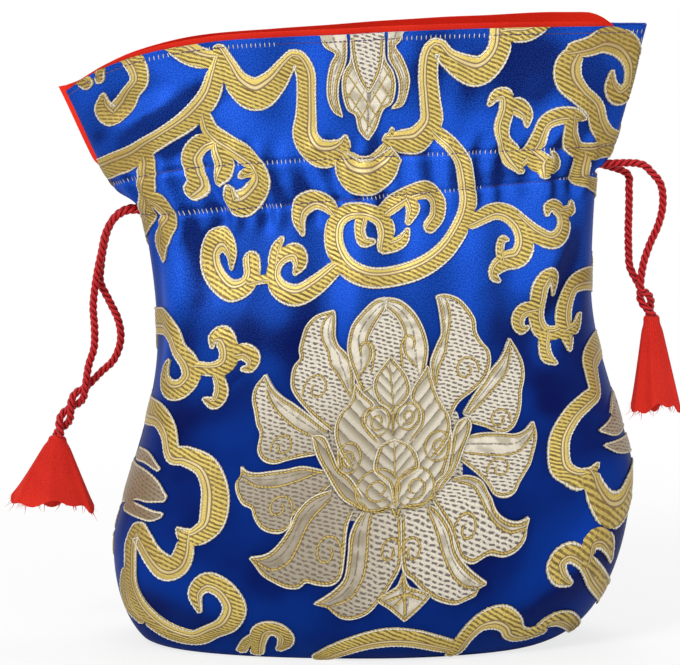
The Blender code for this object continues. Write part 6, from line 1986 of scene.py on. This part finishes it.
ENDS = (
    CordEnd("left_cord_front", False, -1, Side.FRONT,
            run(-546, -22, 1091, -581, -21, 1070, -602, -19, 1033, -613, -17, 985, -622, -16, 945,
                -629, -16, 905, -635, -18, 850, -632, -20, 795, -634, -19, 745, -648, -16, 700),
            run(-658, 0, 640, -688, 0, 600, -713, 0, 556, -729, 0, 514),
            math.pi * 1.5),
    CordEnd("left_cord_back", False, -1, Side.BACK,
            run(-542, 22, 1092, -577, 21, 1074, -599, 19, 1037, -611, 17, 988, -617, 16, 945, -618,
                15, 905, -597, 12, 860, -574, 8, 810, -569, 6, 760, -586, 7, 712, -618, 10, 680),
            run(-658, 0, 640, -688, 0, 600, -713, 0, 556, -729, 0, 514),
            math.pi * 0.5),
    CordEnd("right_cord_front", True, 1, Side.FRONT,
            run(716, -37, 1210, 752, -40, 1186, 774, -42, 1155, 778, -48, 1108, 767, -56, 1060,
                745, -64, 1010, 729, -72, 960),
            run(724, -64, 903, 741, -66, 866, 752, -66, 832),
            math.pi * 1.5),
    CordEnd("right_cord_back", True, 1, Side.BACK,
            run(692, 26, 1180, 699, 18, 1140, 699, 10, 1090, 697, -4, 1040, 697, -22, 990, 700,
                -40, 950),
            run(724, -64, 903, 741, -66, 866, 752, -66, 832),
            math.pi * 0.5),
)


@dataclass
class Studio:
    """Camera, lamps, floor and the pale surroundings."""

    target: tuple[float, float, float] = (-0.0020, 0.0, 0.0781)
    distance: float = 0.9
    elevation: float = 9.0
    lens: float = 190.6
    floor_radius: float = 6.0

    def camera(self) -> None:
        """Camera at the photograph's height, looking level across the bag."""
        lift = math.radians(self.elevation)
        place = Vector(self.target) + Vector((0, -math.cos(lift), math.sin(lift))) * self.distance
        data = bpy.data.cameras.new("camera")
        data.lens = self.lens
        data.sensor_width = 36.0
        data.clip_end = 50.0
        made = bpy.data.objects.new("camera", data)
        made.location = place
        made.rotation_euler = (Vector(self.target) - place).to_track_quat("-Z", "Y").to_euler()
        bpy.context.scene.collection.objects.link(made)
        bpy.context.scene.camera = made

    def lamp(self, name: str, place: tuple[float, float, float], size: float,
             power: float) -> None:
        """A soft square lamp aimed at the middle of the bag."""
        data = bpy.data.lights.new(name, "AREA")
        data.shape = "SQUARE"
        data.size = size
        data.energy = power
        made = bpy.data.objects.new(name, data)
        made.location = place
        aim = Vector((0, 0, 0.08)) - Vector(place)
        made.rotation_euler = aim.to_track_quat("-Z", "Y").to_euler()
        bpy.context.scene.collection.objects.link(made)

    def floor(self) -> None:
        """Pale round floor, as rings and spokes, that keeps the shadow of the bag."""
        radius = np.array([0.0, 0.15, 0.4, 1.0, 2.5, self.floor_radius])[1:, None]
        angle = circle_of(64)[None, :]
        rings = np.stack([radius * np.cos(angle), radius * np.sin(angle), 0 * radius * angle],
            axis=-1).reshape(-1, 3)
        points = np.vstack([[[0, 0, 0]], rings])
        k = np.arange(64)
        faces = [(0, int(a) + 1, int(b) + 1) for a, b in zip(k, (k + 1) % 64)]
        for ring in range(len(radius) - 1):
            a = 1 + ring * 64 + k
            b = 1 + ring * 64 + (k + 1) % 64
            faces += np.stack([a, a + 64, b + 64, b], axis=1).tolist()
        mesh = bpy.data.meshes.new("floor")
        mesh.from_pydata(points.tolist(), [], faces)
        mesh.update()
        made = bpy.data.objects.new("floor", mesh)
        bpy.context.scene.collection.objects.link(made)
        material, wires, shader = shade("pale floor", Gloss(roughness=0.9, specular=0.2))
        shader.inputs["Base Color"].default_value = (0.95, 0.95, 0.95, 1)
        glow = wires.node("ShaderNodeEmission")
        rays = wires.node("ShaderNodeLightPath")
        join = wires.node("ShaderNodeMixShader")
        place = wires.node("ShaderNodeTexCoord").outputs["Object"]
        away = wires.node("ShaderNodeVectorMath", operation="LENGTH")
        wires.tree.links.new(place, away.inputs[0])
        share = 0.76 + wires.smooth(away.outputs["Value"], 0.08, 0.3) * 0.24
        wires.feed(join.inputs[0], rays.outputs["Is Camera Ray"] * share)
        wires.tree.links.new(shader.outputs[0], join.inputs[1])
        wires.tree.links.new(glow.outputs[0], join.inputs[2])
        output = material.node_tree.nodes["Material Output"]
        wires.tree.links.new(join.outputs[0], output.inputs[0])
        mesh.materials.append(material)

    def world(self) -> None:
        """Even pale light, white where the camera, a gloss or a clear surface sees it."""
        made = bpy.data.worlds.new("pale studio")
        bpy.context.scene.world = made
        made.use_nodes = True
        wires = Wires(made.node_tree)
        light = made.node_tree.nodes["Background"]
        light.inputs["Color"].default_value = (1, 1, 1, 1)
        light.inputs["Strength"].default_value = 0.38
        white = wires.node("ShaderNodeBackground")
        white.inputs["Color"].default_value = (1, 1, 1, 1)
        rays = wires.node("ShaderNodeLightPath")
        seen = wires.math("MAXIMUM", rays.outputs["Is Camera Ray"],
            wires.math("MAXIMUM", rays.outputs["Is Glossy Ray"],
            rays.outputs["Is Transmission Ray"]))
        join = wires.node("ShaderNodeMixShader")
        wires.feed(join.inputs[0], seen)
        wires.tree.links.new(light.outputs[0], join.inputs[1])
        wires.tree.links.new(white.outputs[0], join.inputs[2])
        output = made.node_tree.nodes["World Output"]
        wires.tree.links.new(join.outputs[0], output.inputs[0])

    def build(self) -> None:
        """Sets the whole studio."""
        self.camera()
        self.floor()
        self.world()
        self.lamp("key_lamp", (-0.60, -0.90, 0.95), 0.40, 9.5)
        self.lamp("fill_lamp", (0.85, -0.85, 0.45), 0.7, 2.2)
        self.lamp("top_lamp", (0.1, 0.30, 1.1), 0.6, 4.0)
        bpy.context.scene.view_settings.view_transform = "Standard"


def mouth_heights(count: int, extra: int) -> Array:
    """Heights of the rows of a panel, closer together over the casing, in millimetres."""
    both = np.concatenate([np.linspace(0, 166, count), np.linspace(119, 141, extra)])
    return np.unique(np.round(both, 3))


def main() -> None:
    """Builds the bag piece by piece, then the studio."""
    logging.basicConfig(level=logging.INFO, format="%(message)s")
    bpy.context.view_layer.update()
    Studio().build()
    form = BagForm()
    finishes = Finishes()
    tassels = {}
    for exit_side, name, end, hem, half_width in (
            (-1, "left_tassel", ENDS[0].twist[-1], (-0.0744, 0.0, 0.0346), 0.0106),
            (1, "right_tassel", ENDS[2].twist[-1], (0.0766, -0.0068, 0.0604), 0.0062)):
        end = np.array(end) * MM
        aim = np.array(hem) - end
        top = end - aim / np.linalg.norm(aim) * 0.0007
        tassel = Tassel(f"{name}_cloth", tuple(top.tolist()), hem, half_width)
        tassels[exit_side] = dress(tassel.build(), finishes.tassel, name)
    Cords(form, finishes).build(ENDS, tassels)
    for side in Side:
        label = side.name.lower()
        satin = ClothShell(form, f"{label}_satin", side, 151, mouth_heights(130, 45), 0.0, 0.9,
            notch_mm=5.5)
        dress(satin.build(), finishes.satin, f"{label}_panel")
        rows = np.append(mouth_heights(70, 20), [166.7, 167.3])
        lining = ClothShell(form, f"{label}_lining_cloth", side, 71, rows, 1.95, 2.5,
            channel_mm=3.3, edge_mm=3.2 if side is Side.FRONT else 0.0,
            rise_mm=0.0 if side is Side.FRONT else 1.7,
            round_mm=2.6 if side is Side.FRONT else 4.6)
        dress(lining.build(), finishes.lining, f"{label}_lining")
        Brocade(form, side, finishes).build()
    for side, label in ((-1, "left"), (1, "right")):
        dress(SideSeam(form, f"{label}_side_seam", side).build(), finishes.satin)
    base = BaseSheet(form, "base_satin", 0.0012, 0.0, 0.0009)
    dress(base.build(), finishes.satin, "base_panel")
    base_lining = BaseSheet(form, "base_lining_cloth", 0.0028, 0.0019, 0.0025)
    dress(base_lining.build(), finishes.lining, "base_lining")


if __name__ == "__main__":
    main()
